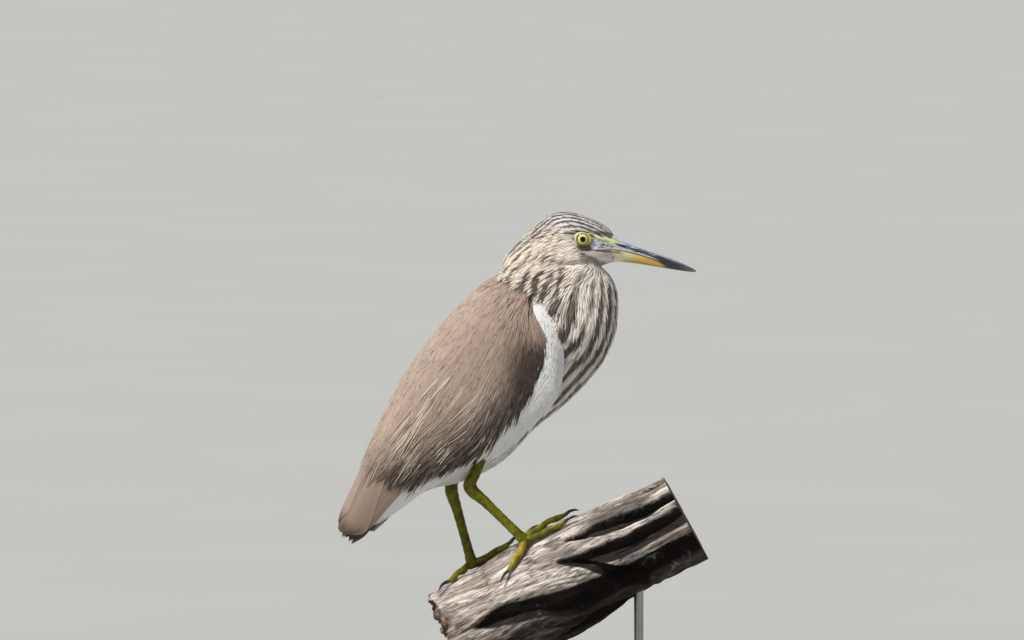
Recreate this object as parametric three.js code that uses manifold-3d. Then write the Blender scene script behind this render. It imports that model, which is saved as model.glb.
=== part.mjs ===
// Life-size pond heron in winter plumage, hunched on a cut length of dead branch that two rods
// carry over a flat base.  Millimetres: +X is where the bird faces, +Y its left, +Z up.
// The origin is the middle of the base's underside.

import * as THREE from "three";
import { mergeVertices } from "three/addons/utils/BufferGeometryUtils.js";
import Module from "manifold-3d";

const wasm = await Module();
wasm.setup();

const DEG = Math.PI / 180;
const FIT_GAP = 0.35; // clearance that touching pieces keep

// ---------------------------------------------------------------- driving sizes

const BODY = {
  pitch: 52 * DEG, // how steeply the back climbs from the wing tips to the nape
  tip: [-113, 137], // x and z of the folded wing tips
  squareness: 2.3,
};
const HEAD = {
  eye: [51.5, 358], // x and z of the line through both eyes
  pitch: -14 * DEG, // the bill points a little down
};
const EYE = { radius: 6.8, apart: 21.4, socket: 7.15, lidRadius: 5.9, lidThickness: 1.1, lidsApart: 31 };
const BILL = { seam: -3.2, slit: 0.35, nostril: [34, 2.4], nostrilLength: 5, nostrilHeight: 1.1 };
const PERCH = {
  middle: [35, 104.5], // x and z of a point on the axis
  slope: 29 * DEG,
  radii: [40.5, 35.5], // at the broken end and at the sawn end
  lower: -86, // where these ends lie along the axis
  upper: 104,
};
const BASE = { length: 250, width: 150, height: 14, cornerRadius: 18, bevel: 2 };
const ROD = { radius: 3.5, lowerAt: -34, upperAt: 66, collarRadius: 8, collarHeight: 5 };

// ---------------------------------------------------------------- small helpers

/** Catmull-Rom interpolation of a table whose rows begin with their station. */
function through(rows) {
  const last = rows.length - 1;
  const slope = (i, k) => {
    const a = rows[Math.max(i - 1, 0)];
    const b = rows[Math.min(i + 1, last)];
    return (b[k] - a[k]) / (b[0] - a[0]);
  };
  return (at) => {
    let i = 0;
    while (i < last - 1 && rows[i + 1][0] <= at) i += 1;
    const span = rows[i + 1][0] - rows[i][0];
    const s = (at - rows[i][0]) / span;
    const [s2, s3] = [s * s, s * s * s];
    return rows[i].slice(1).map((value, j) => {
      const k = j + 1;
      const [a, b] = [value, rows[i + 1][k]];
      if (s < 0) return a + slope(i, k) * s * span;
      if (s > 1) return b + slope(i + 1, k) * (s - 1) * span;
      return (2 * s3 - 3 * s2 + 1) * a + (s3 - 2 * s2 + s) * span * slope(i, k)
        + (3 * s2 - 2 * s3) * b + (s3 - s2) * span * slope(i + 1, k);
    });
  };
}

const mix = (a, b, s) => a + (b - a) * s;
const clamp = (x, low, high) => Math.min(high, Math.max(low, x));
const power = (x, exponent) => Math.sign(x) * Math.abs(x) ** exponent;

/** A repeatable draw between -1 and 1 for the small differences between like pieces. */
function jitter(...keys) {
  const dot = keys.reduce((sum, key, i) => sum + key * [12.9898, 78.233, 37.719][i], 4.13);
  const wave = Math.sin(dot) * 43758.5453;
  return 2 * (wave - Math.floor(wave)) - 1;
}

/** A closed solid from corner points and triangles, turned so that its faces point out. */
function solidOf(points, triangles) {
  const flat = new Float32Array(points.length * 3);
  points.forEach((p, i) => flat.set([p.x, p.y, p.z], i * 3));
  let volume = 0;
  for (const [a, b, c] of triangles) {
    volume += points[a].dot(new THREE.Vector3().crossVectors(points[b], points[c]));
  }
  const faces = volume < 0 ? triangles.map(([a, b, c]) => [a, c, b]) : triangles;
  return new wasm.Manifold(
    new wasm.Mesh({ numProp: 3, vertProperties: flat, triVerts: new Uint32Array(faces.flat()) }),
  );
}

/** A closed solid of rings of points, each end closed by a fan. */
function loft(rings) {
  const around = rings[0].length;
  const points = rings.flat();
  const triangles = [];
  for (let i = 0; i < rings.length - 1; i += 1) {
    for (let j = 0; j < around; j += 1) {
      const a = i * around + j;
      const b = i * around + ((j + 1) % around);
      triangles.push([a, b, b + around], [a, b + around, a + around]);
    }
  }
  for (const [start, flip] of [[0, true], [(rings.length - 1) * around, false]]) {
    const middle = new THREE.Vector3();
    for (let j = 0; j < around; j += 1) middle.addScaledVector(points[start + j], 1 / around);
    points.push(middle);
    for (let j = 0; j < around; j += 1) {
      const edge = [start + j, start + ((j + 1) % around)];
      triangles.push(flip ? [edge[1], edge[0], points.length - 1] : [...edge, points.length - 1]);
    }
  }
  return solidOf(points, triangles);
}

/** A closed plate between two like grids of points, split alike on both faces. */
function plate(outer, inner) {
  const [rows, columns] = [outer.length, outer[0].length];
  const points = [...outer.flat(), ...inner.flat()];
  const under = rows * columns;
  const triangles = [];
  const at = (i, j) => i * columns + j;
  for (let i = 0; i < rows - 1; i += 1) {
    for (let j = 0; j < columns - 1; j += 1) {
      const [a, b, c, d] = [at(i, j), at(i, j + 1), at(i + 1, j + 1), at(i + 1, j)];
      triangles.push([a, b, c], [a, c, d]);
      triangles.push([a + under, c + under, b + under], [a + under, d + under, c + under]);
    }
  }
  const rim = [];
  for (let j = 0; j < columns - 1; j += 1) rim.push(at(0, j));
  for (let i = 0; i < rows - 1; i += 1) rim.push(at(i, columns - 1));
  for (let j = columns - 1; j > 0; j -= 1) rim.push(at(rows - 1, j));
  for (let i = rows - 1; i > 0; i -= 1) rim.push(at(i, 0));
  rim.forEach((a, k) => {
    const b = rim[(k + 1) % rim.length];
    triangles.push([a, a + under, b + under], [a, b + under, b]);
  });
  return solidOf(points, triangles);
}

/** A closed solid of a three.js geometry, its shared corners merged. */
function solidFrom(geometry) {
  const bare = geometry.clone();
  bare.deleteAttribute("normal");
  bare.deleteAttribute("uv");
  const merged = mergeVertices(bare, 1e-4);
  const { array } = merged.attributes.position;
  const points = [];
  for (let i = 0; i < array.length; i += 3) {
    points.push(new THREE.Vector3(array[i], array[i + 1], array[i + 2]));
  }
  const triangles = [];
  for (let i = 0; i < merged.index.count; i += 3) {
    const corners = [0, 1, 2].map((k) => merged.index.array[i + k]);
    if (new Set(corners).size === 3) triangles.push(corners);
  }
  return solidOf(points, triangles);
}

/** The largest closed surface of a solid, which drops scraps and fills sealed hollows. */
function largest(solid) {
  const bodies = solid.decompose();
  return bodies.reduce((best, body) => (body.volume() > best.volume() ? body : best));
}

/** One closed body of many overlapping ones. */
function fused(solids) {
  let pool = [...solids];
  while (pool.length > 1) {
    const next = [];
    for (let i = 0; i < pool.length; i += 2) {
      next.push(i + 1 < pool.length ? pool[i].add(pool[i + 1]) : pool[i]);
    }
    pool = next;
  }
  return pool[0];
}

/** A box between two corners as a solid. */
function block(low, high) {
  const size = high.map((h, i) => h - low[i]);
  const box = new THREE.BoxGeometry(...size);
  box.translate(...low.map((l, i) => l + size[i] / 2));
  return solidFrom(box);
}

/** A round tapered solid along a smooth curve; radii are given from start to end. */
function limb(path, radii, { around, steps }) {
  const line = new THREE.CatmullRomCurve3(path, false, "centripetal");
  const radiusAt = through(radii.map((r, i) => [i / (radii.length - 1), r]));
  const side = new THREE.Vector3();
  const rings = [];
  for (let i = 0; i <= steps; i += 1) {
    const s = i / steps;
    const forward = line.getTangentAt(s);
    const helper = side.lengthSq() ? side : new THREE.Vector3(0, 1, 0);
    side.copy(helper.clone().addScaledVector(forward, -helper.dot(forward)).normalize());
    const up = new THREE.Vector3().crossVectors(forward, side);
    const middle = line.getPointAt(s);
    const radius = Math.max(radiusAt(s)[0], 0.15);
    rings.push(Array.from({ length: around }, (_, j) => {
      const turn = ((j + 0.5) / around) * 2 * Math.PI;
      return middle.clone()
        .addScaledVector(side, radius * Math.cos(turn))
        .addScaledVector(up, radius * Math.sin(turn));
    }));
  }
  return loft(rings);
}

// ---------------------------------------------------------------- frames of the body and head

/** Point at u up the back from the wing tips, y to the left, w out from the body's axis. */
function bodyPoint(u, y, w) {
  const [c, s] = [Math.cos(BODY.pitch), Math.sin(BODY.pitch)];
  return new THREE.Vector3(BODY.tip[0] + u * c - w * s, y, BODY.tip[1] + u * s + w * c);
}

/** Point at f forward of the eyes along the bill, y to the left, g above the eyes. */
function headPoint(f, y, g) {
  const [c, s] = [Math.cos(HEAD.pitch), Math.sin(HEAD.pitch)];
  return new THREE.Vector3(HEAD.eye[0] + f * c - g * s, y, HEAD.eye[1] + f * s + g * c);
}

// ---------------------------------------------------------------- body, neck and head as one form

const sideOf = (u, w) => {
  const p = bodyPoint(u, 0, w);
  return [p.x, p.z];
};

// Each station: back point, front point (both x, z), half width, and how much the back half is
// wider than the front half.
const STATIONS = [
  [...sideOf(41, 19), ...sideOf(36, -8), 6, 0],
  [...sideOf(51, 27), ...sideOf(46, -12), 13, 0],
  [...sideOf(71, 36.5), ...sideOf(62, -19), 20, 0.05],
  [...sideOf(97, 42.5), ...sideOf(84, -36), 26.5, 0.08],
  [...sideOf(126, 46), ...sideOf(112, -48), 31, 0.08],
  [...sideOf(156, 46), ...sideOf(143, -50.5), 33, 0.06],
  [...sideOf(183, 44), ...sideOf(175, -57.5), 33, 0.06],
  [...sideOf(203, 40.5), ...sideOf(207, -60), 31, 0.1],
  [...sideOf(219, 38), ...sideOf(232, -55), 27, 0.14],
  [-5, 343.5, 75.6, 303, 23, 0.14],
  [2, 353, 76, 317, 20, 0.12],
  [10, 362, 73, 328, 17.8, 0.08],
  [19, 370.2, 66.5, 335.2, 16.6, 0.02],
  [29.5, 376.2, 64.8, 337, 16.3, -0.02],
  [42.5, 378.4, 66.4, 338.4, 15.8, -0.04],
  [56.5, 374.4, 70.5, 339.8, 13.2, -0.06],
  [67.5, 367.2, 75, 341.2, 9.4, -0.04],
  [73.5, 362.2, 78.4, 343.6, 6.4, 0],
].map((row, i) => [i, ...row]);
const stationAt = through(STATIONS);
const CORE = { rings: 34, around: 20 };

/** Ring of the body's core at a station, grown outwards by a margin. */
function coreRing(station, grow) {
  const [backX, backZ, frontX, frontZ, half, egg] = stationAt(station);
  const back = new THREE.Vector3(backX, 0, backZ);
  const front = new THREE.Vector3(frontX, 0, frontZ);
  const middle = back.clone().add(front).multiplyScalar(0.5);
  const reach = back.distanceTo(front) / 2;
  const up = back.clone().sub(front).normalize();
  const exponent = 2 / BODY.squareness;
  return Array.from({ length: CORE.around }, (_, j) => {
    const turn = (j / CORE.around) * 2 * Math.PI;
    const sideways = (half + grow) * power(Math.sin(turn), exponent) * (1 + egg * Math.cos(turn));
    const upwards = (reach + grow) * power(Math.cos(turn), exponent);
    return middle.clone().addScaledVector(up, upwards).add(new THREE.Vector3(0, sideways, 0));
  });
}

/** The whole core from the tail's root to the bill's root. */
function core(grow) {
  const last = STATIONS.length - 1;
  const rings = [];
  for (let i = 0; i <= CORE.rings; i += 1) rings.push(coreRing((i / CORE.rings) * last, grow));
  if (grow > 0) {
    for (const [ring, step] of [[rings[0], -1], [rings[CORE.rings], 1]]) {
      const out = step < 0
        ? bodyPoint(-1, 0, 0).sub(bodyPoint(0, 0, 0))
        : headPoint(1, 0, 0).sub(headPoint(0, 0, 0));
      ring.forEach((p) => p.addScaledVector(out, grow));
    }
  }
  return loft(rings);
}

/** The two halves of space on either side of a thin gap across the core at a station. */
function cutAt(station, thickness) {
  const [backX, backZ, frontX, frontZ] = stationAt(station);
  const back = new THREE.Vector3(backX, 0, backZ);
  const front = new THREE.Vector3(frontX, 0, frontZ);
  const up = back.clone().sub(front).normalize();
  const forward = new THREE.Vector3(up.z, 0, -up.x);
  const reach = 90;
  const corners = (near, far) => [near, far].flatMap((along) => [[-1, -1], [1, -1], [1, 1], [-1, 1]]
    .map(([y, w]) => back.clone().add(front).multiplyScalar(0.5)
      .addScaledVector(forward, along)
      .addScaledVector(up, w * reach)
      .add(new THREE.Vector3(0, y * reach, 0))));
  const between = (near, far) => {
    const points = corners(near, far);
    return loft([points.slice(0, 4), points.slice(4)]);
  };
  return { beyond: between(thickness / 2, 400), behind: between(-400, -thickness / 2) };
}

const CUTS = { tail: 0.95, neck: 8.2, head: 11.55 };
const whole = core(0);
const grown = core(FIT_GAP + 0.1);
const tailCut = cutAt(CUTS.tail, FIT_GAP);
const neckCut = cutAt(CUTS.neck, FIT_GAP);
const headCut = cutAt(CUTS.head, FIT_GAP);

// ---------------------------------------------------------------- vanes

/** Outward unit normal of a surface at two parameters. */
function normalOf(surface, a, b, sign) {
  const e = 0.02;
  const alongA = surface(a + e, b).sub(surface(a - e, b));
  const alongB = surface(a, b + e).sub(surface(a, b - e));
  return alongA.cross(alongB).normalize().multiplyScalar(sign);
}

const VANE_THICKNESS = 0.9;

/**
 * One flight or contour feather lying on a surface: a leaf-shaped plate from its root to its
 * tip, lifted towards the tip, tilted so that it overlaps its neighbour, with a low shaft ridge.
 */
function vane(surface, sign, feather) {
  const { root, tip, width, lift, tilt = 0.3, sunk = null, rows = 3, point = 0.35 } = feather;
  const columns = [-1, 0, 1];
  const outer = [];
  const inner = [];
  for (let i = 0; i <= rows; i += 1) {
    const s = (i / rows) ** 0.85;
    const a = mix(root[0], tip[0], s);
    const b = mix(root[1], tip[1], s);
    const rounding = s < 0.7 ? 1 : Math.sqrt(1 - (1 - point ** 2) * ((s - 0.7) / 0.3) ** 2);
    const half = (width / 2) * mix(0.62, 1, clamp(s / 0.5, 0, 1)) * rounding;
    const e = 0.01;
    const perB = surface(a, b + e).distanceTo(surface(a, b - e)) / (2 * e);
    const top = mix(lift[0], lift[1], s);
    const outerRow = [];
    const innerRow = [];
    for (const c of columns) {
      const lateral = b + (c * half) / perB;
      const sweep = a + (tip[0] < root[0] ? 1 : -1) * c * c * half * 0.35 * (s > 0.9 ? 1 : 0);
      const p = surface(sweep, lateral);
      const n = normalOf(surface, sweep, lateral, sign);
      const high = top + tilt * c + (c === 0 ? 0.25 : 0);
      const low = sunk === null ? high - VANE_THICKNESS : Math.min(high - VANE_THICKNESS, sunk);
      outerRow.push(p.clone().addScaledVector(n, high));
      innerRow.push(p.clone().addScaledVector(n, low));
    }
    outer.push(outerRow);
    inner.push(innerRow);
  }
  return plate(outer, inner);
}

// ---------------------------------------------------------------- wings

// The folded wing's outer surface at u up the back: height of the back, of the hull's underside,
// half width, and the height of the wing's lower edge.
const wingAt = through([
  [-4, 18, -8, 6.5, -4.5],
  [10, 23, -12, 12.5, -6],
  [36, 29.3, -22, 20, -9],
  [70, 38.5, -38, 28.5, -18],
  [104, 45.8, -53, 34.5, -34],
  [134, 48.6, -63, 37.5, -44],
  [170, 48.4, -68, 38.5, -47.5],
  [198, 44.5, -64, 37, -42],
  [216, 40, -58, 34.5, -34],
  [236, 32, -52, 31, -24],
]);

/** Outer surface of a folded wing: u up the back, v from the spine (0) to the lower edge (1). */
function wingSurface(side) {
  return (u, v) => {
    const [high, low, half, edge] = wingAt(u);
    const middle = (high + low) / 2;
    const reach = (high - low) / 2;
    const exponent = 2 / BODY.squareness;
    const lowest = Math.acos(clamp(power((edge - middle) / reach, BODY.squareness / 2), -0.98, 0.98));
    const turn = v * lowest;
    return bodyPoint(
      u,
      side * half * power(Math.sin(turn), exponent),
      middle + reach * power(Math.cos(turn), exponent),
    );
  };
}

const WING = {
  shellRear: [58, 92], // where the arm's padding ends, at the spine and at the lower edge
  frontEdge: [[0, 223], [0.3, 227], [0.55, 227], [0.8, 217], [1, 196]], // v and u of the front edge
  rows: 10,
  columns: 5,
};

/** The arm and its padding, a thick shell that the vanes root in. */
function wingShell(side, sign) {
  const surface = wingSurface(side);
  const frontAt = through(WING.frontEdge);
  const outer = [];
  const inner = [];
  for (let i = 0; i <= WING.rows; i += 1) {
    const outerRow = [];
    const innerRow = [];
    for (let j = 0; j <= WING.columns; j += 1) {
      const v = mix(0.012, 1, j / WING.columns);
      const u = mix(mix(...WING.shellRear, v), frontAt(v)[0], i / WING.rows);
      const p = surface(u, v);
      const n = normalOf(surface, u, v, sign);
      const fromFront = (WING.rows - i) / WING.rows;
      const rim = Math.max(0, 1 - fromFront * 7) * 1.6 + Math.max(0, (v - 0.9) / 0.1) * 1.6;
      const depth = mix(6, 10, v) * clamp(u / 120, 0.55, 1);
      outerRow.push(p.clone().addScaledVector(n, -rim));
      innerRow.push(p.clone().addScaledVector(n, -depth));
    }
    outer.push(outerRow);
    inner.push(innerRow);
  }
  return plate(outer, inner);
}

// Feather rows of one wing, from the lowest layer to the uppermost.  Each row spreads its
// feathers from v of the first to v of the last.
const WING_ROWS = [
  { name: "primaries", count: 3, root: [108, 102], tip: [16, 1],
    v: [0.97, 0.78], tipV: [0.92, 0.72], width: 15, lift: [-2.2, -1.4], sunk: null },
  { name: "secondaries", count: 2, root: [104, 100], tip: [1, -1],
    v: [0.76, 0.58], tipV: [0.68, 0.48], width: 20, lift: [-1.3, -0.4], sunk: null },
  { name: "tertials", count: 3, root: [102, 98], tip: [-1, 3],
    v: [0.5, 0.12], tipV: [0.5, 0.13], width: 21, lift: [-0.6, 0.4], sunk: null },
  { name: "greater_coverts", count: 3, root: [186, 144], tip: [138, 94],
    v: [0.95, 0.86], tipV: [0.95, 0.84], width: 21, lift: [-1, 0.9], sunk: -1.4 },
  { name: "median_coverts", count: 3, root: [206, 176], tip: [170, 134],
    v: [0.88, 0.78], tipV: [0.9, 0.76], width: 20, lift: [-1, 1.1], sunk: -1.4 },
  { name: "scapulars_rear", count: 3, root: [108, 104], tip: [48, 40],
    v: [0.7, 0.11], tipV: [0.68, 0.12], width: 24, lift: [-0.4, 1.3], sunk: null },
  { name: "scapulars_low", count: 4, root: [144, 138], tip: [84, 72],
    v: [0.82, 0.09], tipV: [0.84, 0.1], width: 23, lift: [-0.5, 1.6], sunk: -1.2 },
  { name: "scapulars_middle", count: 4, root: [184, 174], tip: [124, 110],
    v: [0.78, 0.085], tipV: [0.85, 0.09], width: 24, lift: [-0.5, 1.7], sunk: -1.2 },
  { name: "scapulars_front", count: 4, root: [219, 218], tip: [168, 150],
    v: [0.66, 0.08], tipV: [0.77, 0.085], width: 23, lift: [-1.3, 1.6], sunk: -1.8 },
];

/** All feathers of one row. */
function featherRow(surface, sign, row, key) {
  return Array.from({ length: row.count }, (_, i) => {
    const s = i / (row.count - 1);
    const vary = jitter(i + 1, key);
    return vane(surface, sign, {
      root: [mix(...row.root, s), mix(...row.v, s)],
      tip: [mix(...row.tip, s) + 3 * vary, mix(...row.tipV, s)],
      width: row.width * (1 + 0.06 * vary),
      lift: row.lift.map((l) => l + 0.12 * vary),
      sunk: row.sunk,
      tilt: 0.3,
    });
  });
}

/** One folded wing: its padding and feather rows, clear of the body and of the other wing. */
function wing(side) {
  const surface = wingSurface(side);
  const sign = side;
  const feathers = WING_ROWS.flatMap((row, key) => featherRow(surface, sign, row, key));
  const made = fused([wingShell(side, sign), ...feathers]);
  const half = side > 0
    ? block([-250, FIT_GAP / 2, 0], [250, 120, 500])
    : block([-250, -120, 0], [250, -FIT_GAP / 2, 500]);
  return largest(made.intersect(half).subtract(grown));
}

// ---------------------------------------------------------------- tail

const TAIL = {
  pairs: 6, root: 60, tip: 11, spread: 10.5, width: 8, arch: 1.2, rootHeight: -8, tipHeight: -3,
};

/** The tail fan's surface: u up the back, y to the left, gently arched. */
function tailSurface(u, y) {
  const s = (TAIL.root - u) / (TAIL.root - TAIL.tip);
  return bodyPoint(u, y, mix(TAIL.rootHeight, TAIL.tipHeight, s) - TAIL.arch * (y / TAIL.spread) ** 2);
}

/** Twelve tail feathers, the middle pair uppermost. */
function tailFeathers() {
  const feathers = [];
  for (let pair = 0; pair < TAIL.pairs; pair += 1) {
    for (const side of [-1, 1]) {
      const s = (pair + 0.5) / TAIL.pairs;
      feathers.push(vane(tailSurface, 1, {
        root: [TAIL.root, side * s * 4],
        tip: [TAIL.tip + 3 * s * s + 0.8 * jitter(pair + 1, side), side * s * TAIL.spread],
        width: TAIL.width,
        lift: [-0.3 * pair, -0.35 * pair],
        tilt: -0.2 * side,
        rows: 2,
        point: 0.5,
      }));
    }
  }
  return feathers;
}

// ---------------------------------------------------------------- head, eyes and bill

/** Eyeball of one side. */
function eyeball(side, radius) {
  const ball = new THREE.SphereGeometry(radius, 14, 9);
  const middle = headPoint(0, (side * EYE.apart) / 2, 0);
  ball.translate(middle.x, middle.y, middle.z);
  return solidFrom(ball);
}

/** The swollen rim of the lids round one eye. */
function lids(side) {
  const ring = new THREE.TorusGeometry(EYE.lidRadius, EYE.lidThickness, 5, 14);
  ring.rotateX(90 * DEG);
  const middle = headPoint(0, (side * EYE.lidsApart) / 2, 0);
  ring.translate(middle.x, middle.y, middle.z);
  return solidFrom(ring);
}

// Bill: distance forward of the eyes, heights of culmen and underside, half width.
const billAt = through([
  [14, 10, -13, 8.6],
  [24, 8.4, -12.4, 7],
  [34, 6, -10.6, 5.6],
  [46, 3.8, -8.6, 4.4],
  [62, 1.5, -7, 3.1],
  [76, -0.4, -5.8, 1.9],
  [84, -2.2, -4.8, 0.8],
  [86.2, -3, -3.9, 0.35],
]);

/** The whole bill, upper and lower jaw together. */
function bill() {
  const rings = [];
  const steps = 13;
  for (let i = 0; i <= steps; i += 1) {
    const f = mix(14, 86.2, i / steps);
    const [top, bottom, half] = billAt(f);
    rings.push(Array.from({ length: 12 }, (_, j) => {
      const turn = ((j + 0.5) / 12) * 2 * Math.PI;
      const height = Math.cos(turn) > 0 ? top - BILL.seam : BILL.seam - bottom;
      const sideways = half * power(Math.sin(turn), 0.9);
      return headPoint(f, sideways, BILL.seam + height * power(Math.cos(turn), 1.1));
    }));
  }
  return loft(rings);
}

/** A block in the head's frame, from one corner to the other. */
function headBlock(low, high) {
  const ring = (f) => [[low[1], low[2]], [high[1], low[2]], [high[1], high[2]], [low[1], high[2]]]
    .map(([y, g]) => headPoint(f, y, g));
  return loft([ring(low[0]), ring(high[0])]);
}

/** Slit nostril of one side. */
function nostril(side) {
  const [f, g] = BILL.nostril;
  const path = [-0.5, 0, 0.5].map((s) => headPoint(f + s * BILL.nostrilLength, side * 5.4, g - s * 1.6));
  return limb(path, [0.3, BILL.nostrilHeight / 1.2, 0.3], { around: 6, steps: 4 });
}

const headSolid = () => {
  const eyes = [-1, 1].map((side) => eyeball(side, EYE.socket));
  const gape = [-1, 1].map((side) => headBlock(
    [7, side > 0 ? 9 : -18, BILL.seam - 0.4],
    [30, side > 0 ? 18 : -9, BILL.seam + 0.4],
  ));
  return largest(fused([whole.intersect(headCut.beyond), lids(-1), lids(1)])
    .subtract(fused([...eyes, ...gape])));
};

const billSolid = bill().subtract(grown);
const upperBill = () => largest(billSolid
  .intersect(headBlock([0, -30, BILL.seam + BILL.slit / 2], [100, 30, 40]))
  .subtract(fused([nostril(-1), nostril(1)])));
const lowerBill = () => largest(billSolid
  .intersect(headBlock([0, -30, -40], [100, 30, BILL.seam - BILL.slit / 2])));

// ---------------------------------------------------------------- perch

/** Radius of the weathered branch at s along it and turn round it from its top. */
function perchRadius(s, turn) {
  const radius = mix(...PERCH.radii, (s - PERCH.lower) / (PERCH.upper - PERCH.lower));
  const swell = 1 + 0.03 * Math.sin(s * 0.045 + 1) + 0.03 * Math.cos(turn * 2 + s * 0.02);
  const down = 1 - Math.cos(turn); // furrows are deepest on the flanks and the underside
  const furrows = 0.035 * Math.cos(turn * 5 + s * 0.03) + 0.02 * down * Math.cos(turn * 9 - s * 0.045 + 2);
  return radius * (swell + furrows);
}

/** Point on the branch, lifted off its surface; turn 0 is its top, positive towards +Y. */
function onPerch(s, turn, lift = 0) {
  const [c, n] = [Math.cos(PERCH.slope), Math.sin(PERCH.slope)];
  const radius = perchRadius(s, turn) + lift;
  const up = radius * Math.cos(turn);
  return new THREE.Vector3(
    PERCH.middle[0] + s * c - up * n,
    radius * Math.sin(turn),
    PERCH.middle[1] + s * n + up * c,
  );
}

/** The cut length of branch, sawn square at its upper end and torn off at its lower end. */
function perch(lift) {
  const around = 28;
  const steps = 13;
  const core = Array.from({ length: around }, (_, j) => {
    const turn = (j / around) * 2 * Math.PI;
    const hollow = -0.6 * perchRadius(PERCH.lower, turn);
    return onPerch(PERCH.lower - 5 - lift + 5 * jitter(j + 1, 7), turn, hollow);
  });
  const rings = [core];
  for (let i = 0; i <= steps; i += 1) {
    rings.push(Array.from({ length: around }, (_, j) => {
      const turn = (j / around) * 2 * Math.PI;
      const splinter = 6 * jitter(j + 1, 3) * (1 - i / steps) ** 4;
      const s = mix(PERCH.lower - lift, PERCH.upper + lift, i / steps) + splinter;
      return onPerch(s, turn, lift);
    }));
  }
  return loft(rings);
}

// ---------------------------------------------------------------- legs and feet

// Each foot: where its pad sits on the branch, and for each toe where its tip lies (s along the
// branch and turn round it, both from the pad), with the toe's thickness at its root.
const FEET = {
  right: {
    ankle: [-30.5, -17, 177], knee: [-20.5, -17.5, 206], pad: [-6, -20],
    toes: {
      inner: [20, 50, 2.3], middle: [34, 25, 2.5], outer: [31, -3, 2.4], hind: [-21, -24, 2.5],
    },
  },
  left: {
    ankle: [-44.5, 13, 173], knee: [-37, 18, 200], pad: [-50, 20],
    toes: {
      inner: [33, -16, 2.3], middle: [40, 8, 2.5], outer: [29, 36, 2.4], hind: [-20, -22, 2.5],
    },
  },
};
const TOE = { lift: 0.35, arch: 1.2, joints: 5, claw: 11, clawRadius: 1.5 };

/** Spine of a toe from the pad to its tip, arched at its joints, at s and turn of each step. */
function toeLine(foot, toe) {
  const [along, turned, radius] = toe;
  const [s0, turn0] = foot.pad;
  const line = [];
  for (let i = 0; i <= TOE.joints; i += 1) {
    const part = i / TOE.joints;
    const thick = mix(radius, radius * 0.72, part);
    const arch = i === 0 ? 2 * TOE.arch : TOE.arch * (i % 2) * (1 - 0.5 * part);
    line.push(onPerch(s0 + along * part, (turn0 + turned * part) * DEG, thick + TOE.lift + arch));
  }
  return line;
}

/** A foot: four toes fused to the pad under the leg, lying clear on the branch. */
function footSolid(foot, perchGrown) {
  const toes = Object.values(foot.toes).map((toe) => limb(
    toeLine(foot, toe),
    [toe[2] * 1.25, toe[2], toe[2] * 1.05, toe[2] * 0.82, toe[2] * 0.9, toe[2] * 0.5],
    { around: 6, steps: 8 },
  ));
  const [s0, turn0] = foot.pad;
  const low = onPerch(s0, turn0 * DEG, 1.2);
  const high = legEnd(foot);
  const pad = limb([low, low.clone().lerp(high, 0.6), high], [4, 4.2, 3.5], { around: 9, steps: 4 });
  return largest(fused([...toes, pad]).subtract(perchGrown).subtract(legCutter(foot)));
}

/** Where the scaled shank meets the foot. */
function legEnd(foot) {
  const [s0, turn0] = foot.pad;
  const ankle = new THREE.Vector3(...foot.ankle);
  return onPerch(s0, turn0 * DEG, 3.6).lerp(ankle, 0.07);
}

/** Half space above the foot's joint, as a long block along the leg. */
function legCutter(foot) {
  const start = legEnd(foot);
  const ankle = new THREE.Vector3(...foot.ankle);
  const forward = ankle.clone().sub(start).normalize();
  const from = start.clone().addScaledVector(forward, -FIT_GAP);
  return limb([from, from.clone().addScaledVector(forward, 60)], [9, 9], { around: 8, steps: 1 });
}

/** The scaled shank between ankle and foot. */
function shank(foot) {
  const start = legEnd(foot);
  const ankle = new THREE.Vector3(...foot.ankle);
  const along = ankle.clone().sub(start).normalize();
  const line = [start, start.clone().lerp(ankle, 0.5), ankle.clone().addScaledVector(along, 4)];
  return limb(line, [3.7, 3.1, 3.1, 3.2, 3.3, 3.6, 4.3, 4.7, 2.2], { around: 9, steps: 11 });
}

/** The bare lower thigh from the ankle up into the belly's feathers. */
function thigh(foot, shankSolid) {
  const ankle = new THREE.Vector3(...foot.ankle);
  const knee = new THREE.Vector3(...foot.knee);
  const line = [ankle, ankle.clone().lerp(knee, 0.5), knee];
  const made = limb(line, [4.4, 3.9, 4, 4.6, 5.6], { around: 9, steps: 6 });
  return made.subtract(shankSolid);
}

/** A curved claw past the tip of a toe, clear of it by the fitting gap. */
function claw(foot, toe) {
  const line = toeLine(foot, toe);
  const end = line[line.length - 1];
  const before = line[line.length - 2];
  const forward = end.clone().sub(before).normalize();
  const [s0, turn0] = foot.pad;
  const tipTurn = (turn0 + toe[1]) * DEG;
  const up = onPerch(s0 + toe[0], tipTurn, 8).sub(onPerch(s0 + toe[0], tipTurn, 0)).normalize();
  const at = (along, rise) => end.clone().addScaledVector(forward, along).addScaledVector(up, rise);
  const start = toe[2] * 0.5 * 0.25 + FIT_GAP;
  const curve = [[0, 0.2], [0.35, 1], [0.75, 0.4], [1, -1.2]]; // share of its length, and rise
  return limb(
    curve.map(([share, rise]) => at(start + TOE.claw * share, rise)),
    [TOE.clawRadius, 1.2, 0.8, 0.2],
    { around: 6, steps: 4 },
  );
}

// ---------------------------------------------------------------- stand

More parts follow.
